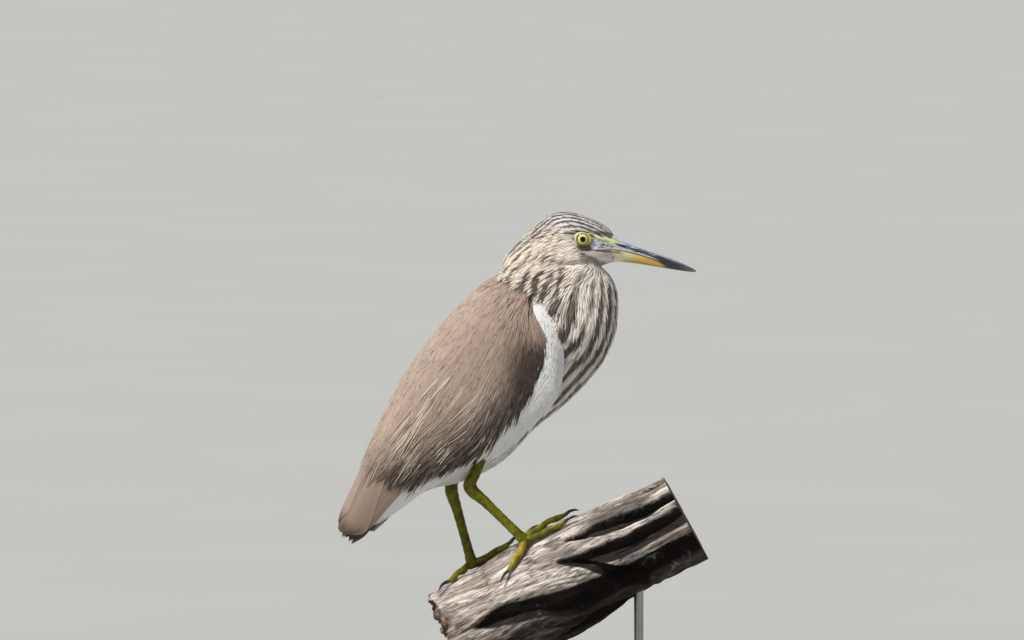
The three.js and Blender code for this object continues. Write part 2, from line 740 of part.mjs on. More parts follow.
/** The flat base, its corners round and its edges bevelled. */
function baseSolid() {
  const { length, width, height, cornerRadius: r, bevel } = BASE;
  const [x, y] = [length / 2 - bevel, width / 2 - bevel];
  const outline = new THREE.Shape();
  outline.moveTo(-x + r, -y).lineTo(x - r, -y).absarc(x - r, -y + r, r, -Math.PI / 2, 0, false);
  outline.lineTo(x, y - r).absarc(x - r, y - r, r, 0, Math.PI / 2, false);
  outline.lineTo(-x + r, y).absarc(-x + r, y - r, r, Math.PI / 2, Math.PI, false);
  outline.lineTo(-x, -y + r).absarc(-x + r, -y + r, r, Math.PI, Math.PI * 1.5, false);
  const body = new THREE.ExtrudeGeometry(outline, {
    depth: height - 2 * bevel, bevelThickness: bevel, bevelSize: bevel, bevelSegments: 1, curveSegments: 4,
  });
  body.translate(0, 0, bevel);
  return solidFrom(body);
}

/** A rod with a collar at its foot, cut to the branch's underside. */
function rod(along, perchGrown) {
  const x = PERCH.middle[0] + along * Math.cos(PERCH.slope);
  const top = PERCH.middle[1] + along * Math.sin(PERCH.slope);
  const foot = BASE.height + FIT_GAP;
  const collarTop = foot + ROD.collarHeight;
  const profile = [
    [0, foot],
    [ROD.collarRadius, foot],
    [ROD.collarRadius, foot + ROD.collarHeight * 0.7],
    [ROD.radius + 1, collarTop],
    [ROD.radius, collarTop],
    [ROD.radius, top],
    [0, top],
  ];
  const turned = new THREE.LatheGeometry(profile.map(([r, z]) => new THREE.Vector2(r, z)), 14);
  turned.rotateX(90 * DEG);
  turned.translate(x, 0, 0);
  return largest(solidFrom(turned).subtract(perchGrown));
}

// ---------------------------------------------------------------- the model

const FINISH = {
  brown: { color: 0x8d7668, roughness: 0.75 },
  streaked: { color: 0xb0a48c, roughness: 0.8 },
  white: { color: 0xe6e4e0, roughness: 0.75 },
  slate: { color: 0x4b5058, roughness: 0.45 },
  yellowBill: { color: 0xb9922f, roughness: 0.4 },
  skin: { color: 0x7c7a22, roughness: 0.55 },
  claw: { color: 0x35332f, roughness: 0.4 },
  eye: { color: 0xd2c32c, roughness: 0.1 },
  wood: { color: 0x77706b, roughness: 0.9 },
  stand: { color: 0x26221f, roughness: 0.5 },
  steel: { color: 0xa8a49a, roughness: 0.35, metalness: 1 },
};

const heron = new THREE.Group();

/** Adds one solid as a named mesh with its own material. */
function addNode(name, solid, finish) {
  const { vertProperties, triVerts, numProp, numVert } = solid.getMesh();
  const positions = new Float32Array(numVert * 3);
  for (let i = 0; i < numVert; i += 1) {
    positions.set(vertProperties.subarray(i * numProp, i * numProp + 3), i * 3);
  }
  const geometry = new THREE.BufferGeometry();
  geometry.setAttribute("position", new THREE.BufferAttribute(positions, 3));
  geometry.setIndex(new THREE.BufferAttribute(triVerts, 1));
  geometry.computeVertexNormals();
  const mesh = new THREE.Mesh(geometry, new THREE.MeshStandardMaterial(finish));
  mesh.name = name;
  heron.add(mesh);
}

const perchGrown = perch(FIT_GAP);

addNode("torso", largest(whole.intersect(tailCut.beyond).intersect(neckCut.behind)), FINISH.white);
addNode("neck", largest(whole.intersect(neckCut.beyond).intersect(headCut.behind)), FINISH.streaked);
addNode("head", headSolid(), FINISH.streaked);
addNode("bill_upper", upperBill(), FINISH.slate);
addNode("bill_lower", lowerBill(), FINISH.yellowBill);
addNode("tail", largest(fused([whole.intersect(tailCut.behind), ...tailFeathers()])
  .subtract(core(FIT_GAP).intersect(tailCut.beyond))), FINISH.white);

for (const [name, side] of [["right", -1], ["left", 1]]) {
  addNode(`wing_${name}`, wing(side), FINISH.brown);
  addNode(`eye_${name}`, eyeball(side, EYE.radius), FINISH.eye);
  const foot = FEET[name];
  const shankSolid = shank(foot);
  addNode(`foot_${name}`, footSolid(foot, perchGrown), FINISH.skin);
  addNode(`shank_${name}`, shankSolid, FINISH.skin);
  addNode(`thigh_${name}`, largest(thigh(foot, shankSolid).subtract(grown)), FINISH.skin);
  for (const [toeName, toe] of Object.entries(foot.toes)) {
    addNode(`claw_${name}_${toeName}`, claw(foot, toe), FINISH.claw);
  }
}

addNode("perch", perch(0), FINISH.wood);
addNode("stand_base", baseSolid(), FINISH.stand);
addNode("stand_rod_lower", rod(ROD.lowerAt, perchGrown), FINISH.steel);
addNode("stand_rod_upper", rod(ROD.upperAt, perchGrown), FINISH.steel);

export default heron;
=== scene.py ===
"""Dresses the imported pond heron: skin, plumage, eyes, bill, legs, dead branch and stand.

Shapes are worked out in millimetres, +X where the bird faces, +Y its left, +Z up, and are put
into Blender in metres.  A sheet is a surface of two parameters that feathers lie on.
"""

import sys
import itertools
import logging
import math
from dataclasses import dataclass, replace
from enum import Enum
from functools import cached_property
from typing import Callable, Sequence

import bpy
import numpy as np
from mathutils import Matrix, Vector


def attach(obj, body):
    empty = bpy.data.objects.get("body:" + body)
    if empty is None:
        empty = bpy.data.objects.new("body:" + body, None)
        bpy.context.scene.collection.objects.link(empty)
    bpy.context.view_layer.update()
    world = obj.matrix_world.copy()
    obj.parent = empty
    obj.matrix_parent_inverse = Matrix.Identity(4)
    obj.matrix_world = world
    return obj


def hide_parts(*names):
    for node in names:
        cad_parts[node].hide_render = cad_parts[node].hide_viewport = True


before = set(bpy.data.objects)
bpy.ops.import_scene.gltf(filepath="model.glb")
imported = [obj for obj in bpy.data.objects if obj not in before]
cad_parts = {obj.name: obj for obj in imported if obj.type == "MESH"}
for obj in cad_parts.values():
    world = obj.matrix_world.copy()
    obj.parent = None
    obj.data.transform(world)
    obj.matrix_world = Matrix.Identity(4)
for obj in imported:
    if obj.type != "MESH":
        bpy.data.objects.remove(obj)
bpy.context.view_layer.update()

LOG = logging.getLogger("heron")
Array = np.ndarray
Shade = str | Array
Material = bpy.types.Material
MM = 0.001
HALF_TURN, FULL_TURN = math.pi, 2 * math.pi
SIDES = {"right": -1, "left": 1}
# Weights, size and seed's share of the sine whose fraction is a draw.
HASH_WEIGHTS, HASH_SIZE, HASH_SEED = (12.9898, 78.233, 37.719), 43758.5453, 4.13
# Steps of a low-discrepancy sequence of number pairs.
PAIR_STEPS = (0.7548776662, 0.5698402910)
# Shares of the bake map for where a feather is rooted and for its own small patch.
ROOT_SHARE, PATCH_SHARE = 0.996, 0.003

# ---- numbers and colours


def unit(v: Array) -> Array:
    """Vectors of length one along v."""
    return v / np.maximum(np.linalg.norm(v, axis=-1, keepdims=True), 1e-9)


def dot(a: Array, b: Array) -> Array:
    """Dot product along the last axis, which is kept."""
    return (a * b).sum(-1, keepdims=True)


def mix(a: Array, b: Array, share: Array) -> Array:
    """A share of the way from a to b."""
    return a + (b - a) * share


def smooth(low: float, high: float, x: Array) -> Array:
    """Smooth step from 0 at low to 1 at high."""
    s = np.clip((x - low) / (high - low), 0, 1)
    return s * s * (3 - 2 * s)


def fall(low: float, high: float, x: Array) -> Array:
    """Smooth step from 1 at low to 0 at high."""
    return 1 - smooth(low, high, x)


def bell(x: Array, width: float) -> Array:
    """Bell curve: e to the minus square of x over the width."""
    return np.exp(-((x / width) ** 2))


def power(x: Array, exponent: float) -> Array:
    """Signed power, which keeps the sign of x."""
    return np.sign(x) * np.abs(x) ** exponent


def circle(turn: Array) -> Array:
    """Cosine and sine of turns, on a last axis."""
    return np.stack([np.cos(turn), np.sin(turn)], -1)


def turns(count: int) -> Array:
    """Even turns round a full circle."""
    return np.arange(count) / count * FULL_TURN


def lattice(rows: Array, columns: Array) -> list[Array]:
    """Two grids, one line of numbers down the rows and one along the columns."""
    return np.meshgrid(rows, columns, indexing="ij")


def colour(shade: Shade) -> Array:
    """Linear colour of a hexadecimal display colour.

    Args:
        shade: Its code, or a linear colour, which stays as it is.

    Returns:
        Red, green and blue.
    """
    if not isinstance(shade, str):
        return shade
    raw = np.array([int(shade[i : i + 2], 16) for i in (0, 2, 4)]) / 255
    return np.where(raw <= 0.04045, raw / 12.92, ((raw + 0.055) / 1.055) ** 2.4)


def blend(low: Shade, high: Shade, share: Array) -> Array:
    """Colour between two colours, by a share that has no colour axis."""
    return mix(colour(low), colour(high), np.asarray(share)[..., None])


def layered(base: Shade, *layers: tuple[Shade, Array]) -> Array:
    """Lays colours over a base in order.

    Args:
        base: The lowest colour.
        layers: Each colour and its share.

    Returns:
        The colour on top.
    """
    for shade, share in layers:
        base = blend(base, shade, np.clip(share, 0, 1))
    return base


def noise(points: Array, scale: float, seed: float = 0.0) -> Array:
    """Value noise between -1 and 1.

    Each corner of a cubic lattice has a draw, the fraction of a large sine, and a point blends
    the eight draws round it by a smooth step along each axis.

    Args:
        points: Places, last axis x, y, z.
        scale: Lattice cells per unit of length.
        seed: Picks another set of draws.

    Returns:
        One number per place.
    """
    p = np.asarray(points, float) * scale
    cell = np.floor(p)
    part = p - cell
    part = part * part * (3 - 2 * part)
    total = 0
    for corner in itertools.product((0, 1), repeat=3):
        weight = np.prod(np.where(corner, part, 1 - part), -1)
        wave = np.sin((cell + corner) @ np.array(HASH_WEIGHTS) + seed * HASH_SEED) * HASH_SIZE
        total = total + weight * (2 * (wave - np.floor(wave)) - 1)
    return total


def rough(points: Array, scale: float, octaves: int, seed: float) -> Array:
    """Sum of noise at doubling scales and halving heights."""
    return sum(noise(points, scale * 2**k, seed + 7 * k) / 2**k for k in range(octaves))


@dataclass(frozen=True)
class Table:
    """Values that run smoothly through rows, each a station and its values."""

    rows: tuple[tuple[float, ...], ...]

    @cached_property
    def parts(self) -> tuple[Array, Array, Array]:
        """Stations, values and slopes, a slope taken between a row's two neighbours.

        Returns:
            One array of each.
        """
        data = np.array(self.rows, float)
        padded = np.pad(data, ((1, 1), (0, 0)), "edge")
        rise = padded[2:] - padded[:-2]
        return data[:, 0], data[:, 1:], rise[:, 1:] / rise[:, :1]

    def at(self, station: Array) -> Array:
        """Values at a station, by a cubic between rows and a straight line past the ends.

        Args:
            station: Any array of stations.

        Returns:
            The same array with a last axis of values.
        """
        stations, values, slopes = self.parts
        x = np.asarray(station, float)
        i = np.clip(np.searchsorted(stations, x, side="right") - 1, 0, len(stations) - 2)
        span = (stations[i + 1] - stations[i])[..., None]
        s = (x - stations[i])[..., None] / span
        c = np.clip(s, 0, 1)
        cubic = (
            (2 * c**3 - 3 * c**2 + 1) * values[i]
            + (c**3 - 2 * c**2 + c) * span * slopes[i]
            + (3 * c**2 - 2 * c**3) * values[i + 1]
            + (c**3 - c**2) * span * slopes[i + 1]
        )
        return cubic + (s - c) * span * np.where(s < 0, slopes[i], slopes[i + 1])

    def one(self, station: Array) -> Array:
        """The first value at a station."""
        return self.at(station)[..., 0]


@dataclass(frozen=True)
class SideField:
    """Values known at a few places of the side view, each row x, z and the values."""

    rows: tuple[tuple[float, ...], ...]
    sharpness: float = 3.2  # the power

    def at(self, points: Array) -> Array:
        """The mean of all rows, each weighed by its distance to a negative power.

        Args:
            points: Places, last axis x, y, z.

        Returns:
            The same array with a last axis of values.
        """
        data = np.array(self.rows, float)
        apart = (points[..., 0:1] - data[:, 0]) ** 2 + (points[..., 2:3] - data[:, 1]) ** 2 + 3
        weight = apart ** (-self.sharpness / 2)
        return (weight @ data[:, 2:]) / weight.sum(-1, keepdims=True)


# ---- frames of the body and head


@dataclass(frozen=True)
class Pitched:
    """A frame in the side view: along a pitched axis, y to the left, and out from the axis."""

    x: float
    z: float
    pitch: float  # of the axis above +X, in radians

    def point(self, along: Array, y: Array, out: Array) -> Array:
        """Place at distances in the frame.

        Args:
            along: Distance along the axis.
            y: Distance to the left.
            out: Height out from the axis.

        Returns:
            Places, last axis x, y, z.
        """
        along, y, out = np.broadcast_arrays(along, y, out)
        c, s = math.cos(self.pitch), math.sin(self.pitch)
        return np.stack([self.x + along * c - out * s, y, self.z + along * s + out * c], -1)

    def of(self, points: Array) -> tuple[Array, Array]:
        """Where places lie in the frame.

        Args:
            points: Places, last axis x, y, z.

        Returns:
            Distance along the axis and height out from it.
        """
        c, s = math.cos(self.pitch), math.sin(self.pitch)
        dx, dz = points[..., 0] - self.x, points[..., 2] - self.z
        return dx * c + dz * s, dz * c - dx * s


# The body's frame goes up the back from the wing tips, the head's goes forward from the eyes.
BODY = Pitched(-113.0, 137.0, math.radians(52))
HEAD = Pitched(51.5, 358.0, math.radians(-14))
SQUARENESS = 2 / 2.3

# ---- meshes


@dataclass
class Shape:
    """Corners and faces of one piece, with what its material reads."""

    points: Array
    quads: Array
    triangles: Array
    tint: Array | None = None
    uv: Array | None = None
    bake_uv: Array | None = None

    def outward(self) -> "Shape":
        """The shape with its faces pointing out, told by the sign of its volume.

        Returns:
            The shape, its faces turned round where the volume is negative.
        """
        faces = [self.triangles, self.quads[:, [0, 1, 2]], self.quads[:, [0, 2, 3]]]
        a, b, c = self.points[np.concatenate(faces).T]
        turn = 1 if (a * np.cross(b, c)).sum() > 0 else -1
        return replace(self, quads=self.quads[:, ::turn], triangles=self.triangles[:, ::turn])


def joined(shapes: Sequence[Shape]) -> Shape:
    """One shape of several.

    Args:
        shapes: The shapes, which all hold the same kinds of array.

    Returns:
        Their arrays end to end, with the faces' corners counted on.
    """
    starts = np.cumsum([0] + [len(s.points) for s in shapes])
    moved = [replace(s, quads=s.quads + n, triangles=s.triangles + n) for s, n in zip(shapes, starts)]
    parts = zip(*(vars(s).values() for s in moved))
    return Shape(*(None if part[0] is None else np.concatenate(part) for part in parts))


def grid_quads(rows: int, columns: int, around: bool) -> Array:
    """Four corners of each cell of a grid.

    Args:
        rows: Number of rows.
        columns: Number of columns.
        around: True where the last column joins the first.

    Returns:
        Corner numbers, one row per cell.
    """
    i, j = lattice(np.arange(rows - 1) * columns, np.arange(columns if around else columns - 1))
    after = (j + 1) % columns
    return np.stack([i + j, i + after, i + columns + after, i + columns + j], -1).reshape(-1, 4)


def unit_grid(rows: int, columns: int, close: bool) -> Array:
    """Coordinates of a grid's points in a unit square, short of 1 where the columns close."""
    v, u = lattice(np.linspace(0, 1, rows), np.linspace(0, 1, columns, endpoint=not close))
    return np.stack([u, v], -1).reshape(-1, 2)


def tube(grid: Array, tint: Array | None = None) -> Shape:
    """A closed tube through rings of points, each end closed by a fan to the ring's middle.

    Args:
        grid: Points, axes ring, place round the ring, and x, y, z.
        tint: Colours of the same points.

    Returns:
        The tube with its faces pointing out.
    """
    def capped(values: Array) -> Array:
        """A line of values with the means of the first and last ring added."""
        return np.concatenate([values.reshape(-1, 3), [values[0].mean(0), values[-1].mean(0)]])

    rings, around = grid.shape[:2]
    j = np.arange(around)
    after, last, pole = (j + 1) % around, (rings - 1) * around, np.full(around, rings * around)
    fans = np.concatenate([np.stack([after, j, pole], -1), np.stack([j + last, after + last, pole + 1], -1)])
    uv = np.concatenate([unit_grid(rings, around, True), [[0.5, 0], [0.5, 1]]])
    colours = None if tint is None else capped(tint)
    return Shape(capped(grid), grid_quads(rings, around, True), fans, colours, uv).outward()


def shell(outer: Array, inner: Array, tint: Array | None = None) -> Shape:
    """A closed plate between two like open grids of points.

    Args:
        outer: Upper face, axes row, column, and x, y, z.
        inner: Lower face on the same rows and columns.
        tint: Colours of the upper face, used for both.

    Returns:
        The plate with its faces pointing out.
    """
    rows, columns = outer.shape[:2]
    count = rows * columns
    index = np.arange(count).reshape(rows, columns)
    rim = np.concatenate([index[0, :-1], index[:-1, -1], index[-1, :0:-1], index[:0:-1, 0]])
    after = np.roll(rim, -1)
    top = grid_quads(rows, columns, False)
    edge = np.stack([rim, rim + count, after + count, after], -1)
    quads = np.concatenate([top, top[:, ::-1] + count, edge])
    uv = unit_grid(rows, columns, False)
    colours = None if tint is None else np.concatenate([tint.reshape(-1, 3)] * 2)
    points = np.concatenate([outer.reshape(-1, 3), inner.reshape(-1, 3)])
    return Shape(points, quads, np.zeros((0, 3), int), colours, np.concatenate([uv, uv])).outward()


def sweep(path: Array, radii: Array, side: Array, shape: Array) -> Array:
    """Rings of points round a path.

    A ring's two axes are the given side made square to the path, and the cross product of the
    path's direction and that side.

    Args:
        path: Points along the middle.
        radii: Radius at each point.
        side: Rough direction of the ring's first axis, one or one per point.
        shape: Offsets of a unit ring, last axes place round and two numbers.

    Returns:
        Points, axes ring, place round the ring, and x, y, z.
    """
    forward = unit(np.gradient(path, axis=0))
    side = np.broadcast_to(side, path.shape)
    first = unit(side - dot(side, forward) * forward)[:, None]
    second = np.cross(forward, first[:, 0])[:, None]
    shape = shape * radii[:, None, None]
    return path[:, None] + shape[..., :1] * first + shape[..., 1:] * second


def curve_through(points: Sequence, count: int) -> Array:
    """Points spread evenly in parameter on a smooth curve through a few."""
    rows = tuple((float(i), *map(float, p)) for i, p in enumerate(points))
    return Table(rows).at(np.linspace(0, len(rows) - 1, count))


def profile(values: Sequence[float], count: int) -> Array:
    """Numbers spread evenly on a smooth curve through a few."""
    return curve_through([(value,) for value in values], count)[:, 0]


def add_piece(
    name: str,
    shape: Shape,
    material: Material,
    slot: str | None,
    replaces: Sequence[str] = (),
    sharp: float = 60.0,
) -> None:
    """Puts a shape into the scene as a piece that rides on the body.

    Args:
        name: The piece's name.
        shape: Its corners and faces, in millimetres.
        material: Its finish.
        slot: Name of a material slot, which is not given to the piece; None marks what isn't part of the
            object and leaves it unattached to the body.
        replaces: CAD nodes that it stands for.
        sharp: Angle between faces, in degrees, past which an edge is sharp.
    """
    mesh = bpy.data.meshes.new(name)
    corners = np.concatenate([shape.quads.ravel(), shape.triangles.ravel()]).astype(np.int32)
    sizes = np.repeat([4, 3], [len(shape.quads), len(shape.triangles)])
    mesh.vertices.add(len(shape.points))
    mesh.vertices.foreach_set("co", (shape.points * MM).astype(np.float32).ravel())
    mesh.loops.add(len(corners))
    mesh.loops.foreach_set("vertex_index", corners)
    mesh.polygons.add(len(sizes))
    mesh.polygons.foreach_set("loop_start", (np.cumsum(sizes) - sizes).astype(np.int32))
    mesh.polygons.foreach_set("use_smooth", np.ones(len(sizes), bool))
    mesh.update(calc_edges=True)
    for layer, values in (("UVMap", shape.uv), ("OFBake", shape.bake_uv)):
        if values is not None:
            uv = mesh.uv_layers.new(name=layer)
            uv.data.foreach_set("uv", values[corners].astype(np.float32).ravel())
    if shape.tint is not None:
        rgba = np.pad(shape.tint, ((0, 0), (0, 1)), constant_values=1)
        tint = mesh.attributes.new("Tint", "FLOAT_COLOR", "POINT")
        tint.data.foreach_set("color", np.clip(rgba, 0, 1).astype(np.float32).ravel())
    mesh.set_sharp_from_angle(angle=math.radians(sharp))
    mesh.materials.append(material)
    piece = bpy.data.objects.new(name, mesh)
    bpy.context.scene.collection.objects.link(piece)
    if slot is None:
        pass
    else:
        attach(piece, "root")
    if replaces:
        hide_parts(*replaces)
    LOG.info("%s: %d triangles", name, 2 * len(shape.quads) + len(shape.triangles))


# ---- shader graphs


class Sock:
    """An output socket of a shader graph that can be used in arithmetic."""

    def __init__(self, graph: "Graph", socket: bpy.types.NodeSocket) -> None:
        """Wraps one socket of a graph."""
        self.graph, self.socket = graph, socket

    def math(self, operation: str, *values: "Operand") -> "Sock":
        """Result of a Math node of one operation on numbers or sockets."""
        return self.graph.out("ShaderNodeMath", 0, {"operation": operation}, dict(enumerate(values)))

    def __add__(self, other: "Operand") -> "Sock":
        """Sum."""
        return self.math("ADD", self, other)

    __radd__ = __add__

    def __sub__(self, other: "Operand") -> "Sock":
        """Difference."""
        return self.math("SUBTRACT", self, other)

    def __rsub__(self, other: "Operand") -> "Sock":
        """Difference from a number."""
        return self.math("SUBTRACT", other, self)

    def __mul__(self, other: "Operand") -> "Sock":
        """Product."""
        return self.math("MULTIPLY", self, other)

    __rmul__ = __mul__

    def __abs__(self) -> "Sock":
        """Absolute value."""
        return self.math("ABSOLUTE", self)

    def step(self, low: float, high: float) -> "Sock":
        """Smooth step from 0 at low to 1 at high."""
        values = {"Value": self, "From Min": low, "From Max": high}
        return self.graph.out("ShaderNodeMapRange", 0, {"interpolation_type": "SMOOTHSTEP"}, values)


Operand = Sock | float
Tone = Sock | Shade | tuple


class Graph:
    """The shader graph of one material."""

    def __init__(self, name: str) -> None:
        """Starts a material with a Principled shader and its output.

        Args:
            name: The material's name.
        """
        self.material = bpy.data.materials.new(name)
        self.material.use_nodes = True
        self.tree = self.material.node_tree
        self.tree.nodes.clear()
        self.shader = self.node("ShaderNodeBsdfPrincipled")
        self.node("ShaderNodeOutputMaterial", {}, {"Surface": Sock(self, self.shader.outputs[0])})

    def feed(self, socket: bpy.types.NodeSocket, value: Operand | Tone) -> None:
        """Links an input or sets its value.

        Args:
            socket: The input.
            value: A socket, a number, a colour or three numbers.
        """
        if isinstance(value, Sock):
            self.tree.links.new(value.socket, socket)
        else:
            socket.default_value = (*colour(value), 1) if socket.type == "RGBA" else value

    def node(self, kind: str, settings: dict | None = None, values: dict | None = None) -> bpy.types.Node:
        """Adds a node.

        Args:
            kind: Its type.
            settings: Its properties, set first.
            values: What its inputs take, by their name or number.

        Returns:
            The new node.
        """
        node = self.tree.nodes.new(kind)
        for key, value in (settings or {}).items():
            setattr(node, key, value)
        for key, value in (values or {}).items():
            self.feed(node.inputs[key], value)
        return node

    def out(self, kind: str, output: str | int, *inputs: dict | None) -> Sock:
        """One output of a new node, which takes its properties and inputs as node does."""
        return Sock(self, self.node(kind, *inputs).outputs[output])

    def place(self) -> Sock:
        """Object coordinates, in metres."""
        return self.out("ShaderNodeTexCoord", "Object")

    def uv(self) -> Sock:
        """Coordinates of the piece's own UV map."""
        return self.out("ShaderNodeUVMap", 0, {"uv_map": "UVMap"})

    def tint(self) -> Sock:
        """The piece's painted colour."""
        return self.out("ShaderNodeAttribute", "Color", {"attribute_name": "Tint"})

    def vector(self, operation: str, output: str | int, *values: Sock | tuple) -> Sock:
        """Result of a Vector Math node."""
        return self.out("ShaderNodeVectorMath", output, {"operation": operation}, dict(enumerate(values)))

    def noise(self, vector: Sock, scale: float, detail: float = 3.0, roughness: float = 0.55) -> Sock:
        """Noise between 0 and 1 at a vector."""
        values = {"Vector": vector, "Scale": scale, "Detail": detail, "Roughness": roughness}
        return self.out("ShaderNodeTexNoise", "Fac", None, values)

    def grain(
        self, vector: Sock, stretch: tuple, detail: float, roughness: float = 0.55, scale: float = 1.0
    ) -> Sock:
        """Noise at a vector whose parts are each multiplied, which draws the noise out."""
        return self.noise(self.vector("MULTIPLY", 0, vector, stretch), scale, detail, roughness)

    def shade(self, share: Operand, low: Tone, high: Tone, kind: str = "MIX") -> Sock:
        """Mixes two colours by a share."""
        settings = {"data_type": "RGBA", "blend_type": kind, "clamp_factor": True}
        return self.out("ShaderNodeMix", 2, settings, {"Factor": share, 6: low, 7: high})

    def toned(self, base: Sock, share: Sock, low: float, high: float) -> Sock:
        """A colour times a grey that goes by a share from a low to a high tone."""
        return self.shade(1.0, base, self.shade(share, (low,) * 3, (high,) * 3), "MULTIPLY")

    def bump(self, height: Sock, distance: float, strength: float) -> Sock:
        """Normal tilted by a height between 0 and 1, a distance in metres."""
        values = {"Height": height, "Distance": distance, "Strength": strength}
        return self.out("ShaderNodeBump", 0, None, values)

    def finish(self, **values: Operand | Tone) -> Material:
        """Feeds the Principled shader.

        Args:
            values: What its inputs take, named with _ for a space.

        Returns:
            The finished material.
        """
        for key, value in values.items():
            self.feed(self.shader.inputs[key.replace("_", " ")], value)
        return self.material


# ---- finishes


@dataclass(frozen=True)
class PlumageFinish:
    """Painted feathers with barbs along each vane."""

    barbs: float = 0.22  # strength in the colour
    relief: float = 0.00012  # height in metres
    roughness: float = 0.62

    def build(self) -> Material:
        """Barbs are noise drawn out along the vane, which darkens and ridges the painted colour.

        Returns:
            The material.
        """
        g = Graph("plumage")
        fine = g.grain(g.uv(), (30.0, 3.2, 1.0), 3.0, 0.6, 9.0)
        slow = g.noise(g.place(), 90.0, 2.0)
        share = (fine - 0.5) * 2 * self.barbs + 0.5 * (slow - 0.5) * self.barbs + 0.5
        return g.finish(
            Base_Color=g.toned(g.tint(), share, 0.62, 1.3),
            Roughness=self.roughness + 0.12 * (fine - 0.5),
            Normal=g.bump(fine, self.relief, 0.6),
            Sheen_Weight=0.25,
            Sheen_Roughness=0.5,
            Specular_IOR_Level=0.25,
        )


@dataclass(frozen=True)
class BareSkinFinish:
    """Painted soft skin under the feathers and on the face."""

    name: str

    def build(self) -> Material:
        """Fine pores in noise over the painted colour.

        Returns:
            The material.
        """
        g = Graph(self.name)
        pores = g.noise(g.place(), 1400.0)
        folds = g.grain(g.place(), (1.0, 1.0, 2.4), 2.0, scale=420.0)
        return g.finish(
            Base_Color=g.toned(g.tint(), pores, 0.8, 1.12),
            Roughness=0.5 + 0.2 * pores,
            Normal=g.bump(pores * 0.5 + folds * 0.5, 0.00025, 0.7),
            Specular_IOR_Level=0.4,
        )


@dataclass(frozen=True)
class EyeFinish:
    """Pale yellow iris with fine rays, a dark rim and a black pupil under a clear gloss."""

    pupil: float = 1.9  # radius in millimetres
    iris: float = 3.62  # radius in millimetres

    def build(self) -> Material:
        """Rings by the distance from the line through both eyes, rays by noise on the direction.

        Returns:
            The material.
        """
        g = Graph("eye_gloss")
        centred = g.vector("SUBTRACT", 0, g.place(), (HEAD.x * MM, 0, HEAD.z * MM))
        flat = g.vector("MULTIPLY", 0, centred, (1 / MM, 0.0, 1 / MM))
        radius = g.vector("LENGTH", "Value", flat)
        fibres = g.noise(g.vector("NORMALIZE", 0, flat), 9.0, 4.0, 0.7)
        wavering = radius + 0.2 * (fibres - 0.5)
        base = g.shade(fibres.step(0.3, 0.7), "c0b546", "e6e180")
        base = g.shade(radius.step(self.pupil, self.pupil + 0.7), "8f8a2e", base)
        base = g.shade(wavering.step(self.iris - 0.5, self.iris - 0.25), base, "e4dfa4")
        base = g.shade(wavering.step(self.iris - 0.12, self.iris + 0.15), base, "2f280e")
        base = g.shade(wavering.step(self.pupil - 0.1, self.pupil + 0.1), (0.003,) * 3, base)
        return g.finish(
            Base_Color=g.shade(radius.step(self.iris + 0.7, self.iris + 1.1), base, (0.01,) * 3),
            Roughness=0.12 + 0.02 * fibres,
            Coat_Weight=0.3,
            Coat_Roughness=0.02,
            Specular_IOR_Level=0.05,
        )


@dataclass(frozen=True)
class HornFinish:
    """Painted horn of the bill or claws, with growth lines along it."""

    name: str
    roughness: float = 0.36
    streak: tuple[float, float, float] = (60.0, 500.0, 500.0)  # factors on x, y and z of the noise

    def build(self) -> Material:
        """Streaks are noise drawn out along the bird's length.

        Returns:
            The material.
        """
        g = Graph(self.name)
        streaks = g.grain(g.place(), self.streak, 4.0, 0.6, 1.6)
        mottle = g.noise(g.place(), 260.0)
        return g.finish(
            Base_Color=g.toned(g.tint(), 0.6 * streaks + 0.4 * mottle, 0.72, 1.25),
            Roughness=self.roughness + 0.25 * (mottle - 0.5),
            Normal=g.bump(streaks * 0.7 + mottle * 0.3, 0.00016, 0.5),
            Coat_Weight=0.12,
            Coat_Roughness=0.3,
        )


@dataclass(frozen=True)
class LegFinish:
    """Painted scaly skin: small plates between the broad scutes."""

    plates: float = 780.0  # cells per metre

    def build(self) -> Material:
        """Plates are cells of a Voronoi pattern, their joints darker and lower.

        Returns:
            The material.
        """
        g = Graph("leg_scales")
        cells = {"feature": "DISTANCE_TO_EDGE"}, {"Vector": g.place(), "Scale": self.plates}
        plate = g.out("ShaderNodeTexVoronoi", "Distance", *cells).step(0.02, 0.16)
        mottle = g.noise(g.place(), 300.0, 4.0)
        return g.finish(
            Base_Color=g.toned(g.toned(g.tint(), mottle.step(0.3, 0.75), 0.8, 1.15), plate, 0.72, 1.0),
            Roughness=0.5 - 0.12 * plate + 0.2 * (mottle - 0.5),
            Normal=g.bump(plate * 0.8 + mottle * 0.2, 0.0002, 0.6),
            Specular_IOR_Level=0.2,
        )


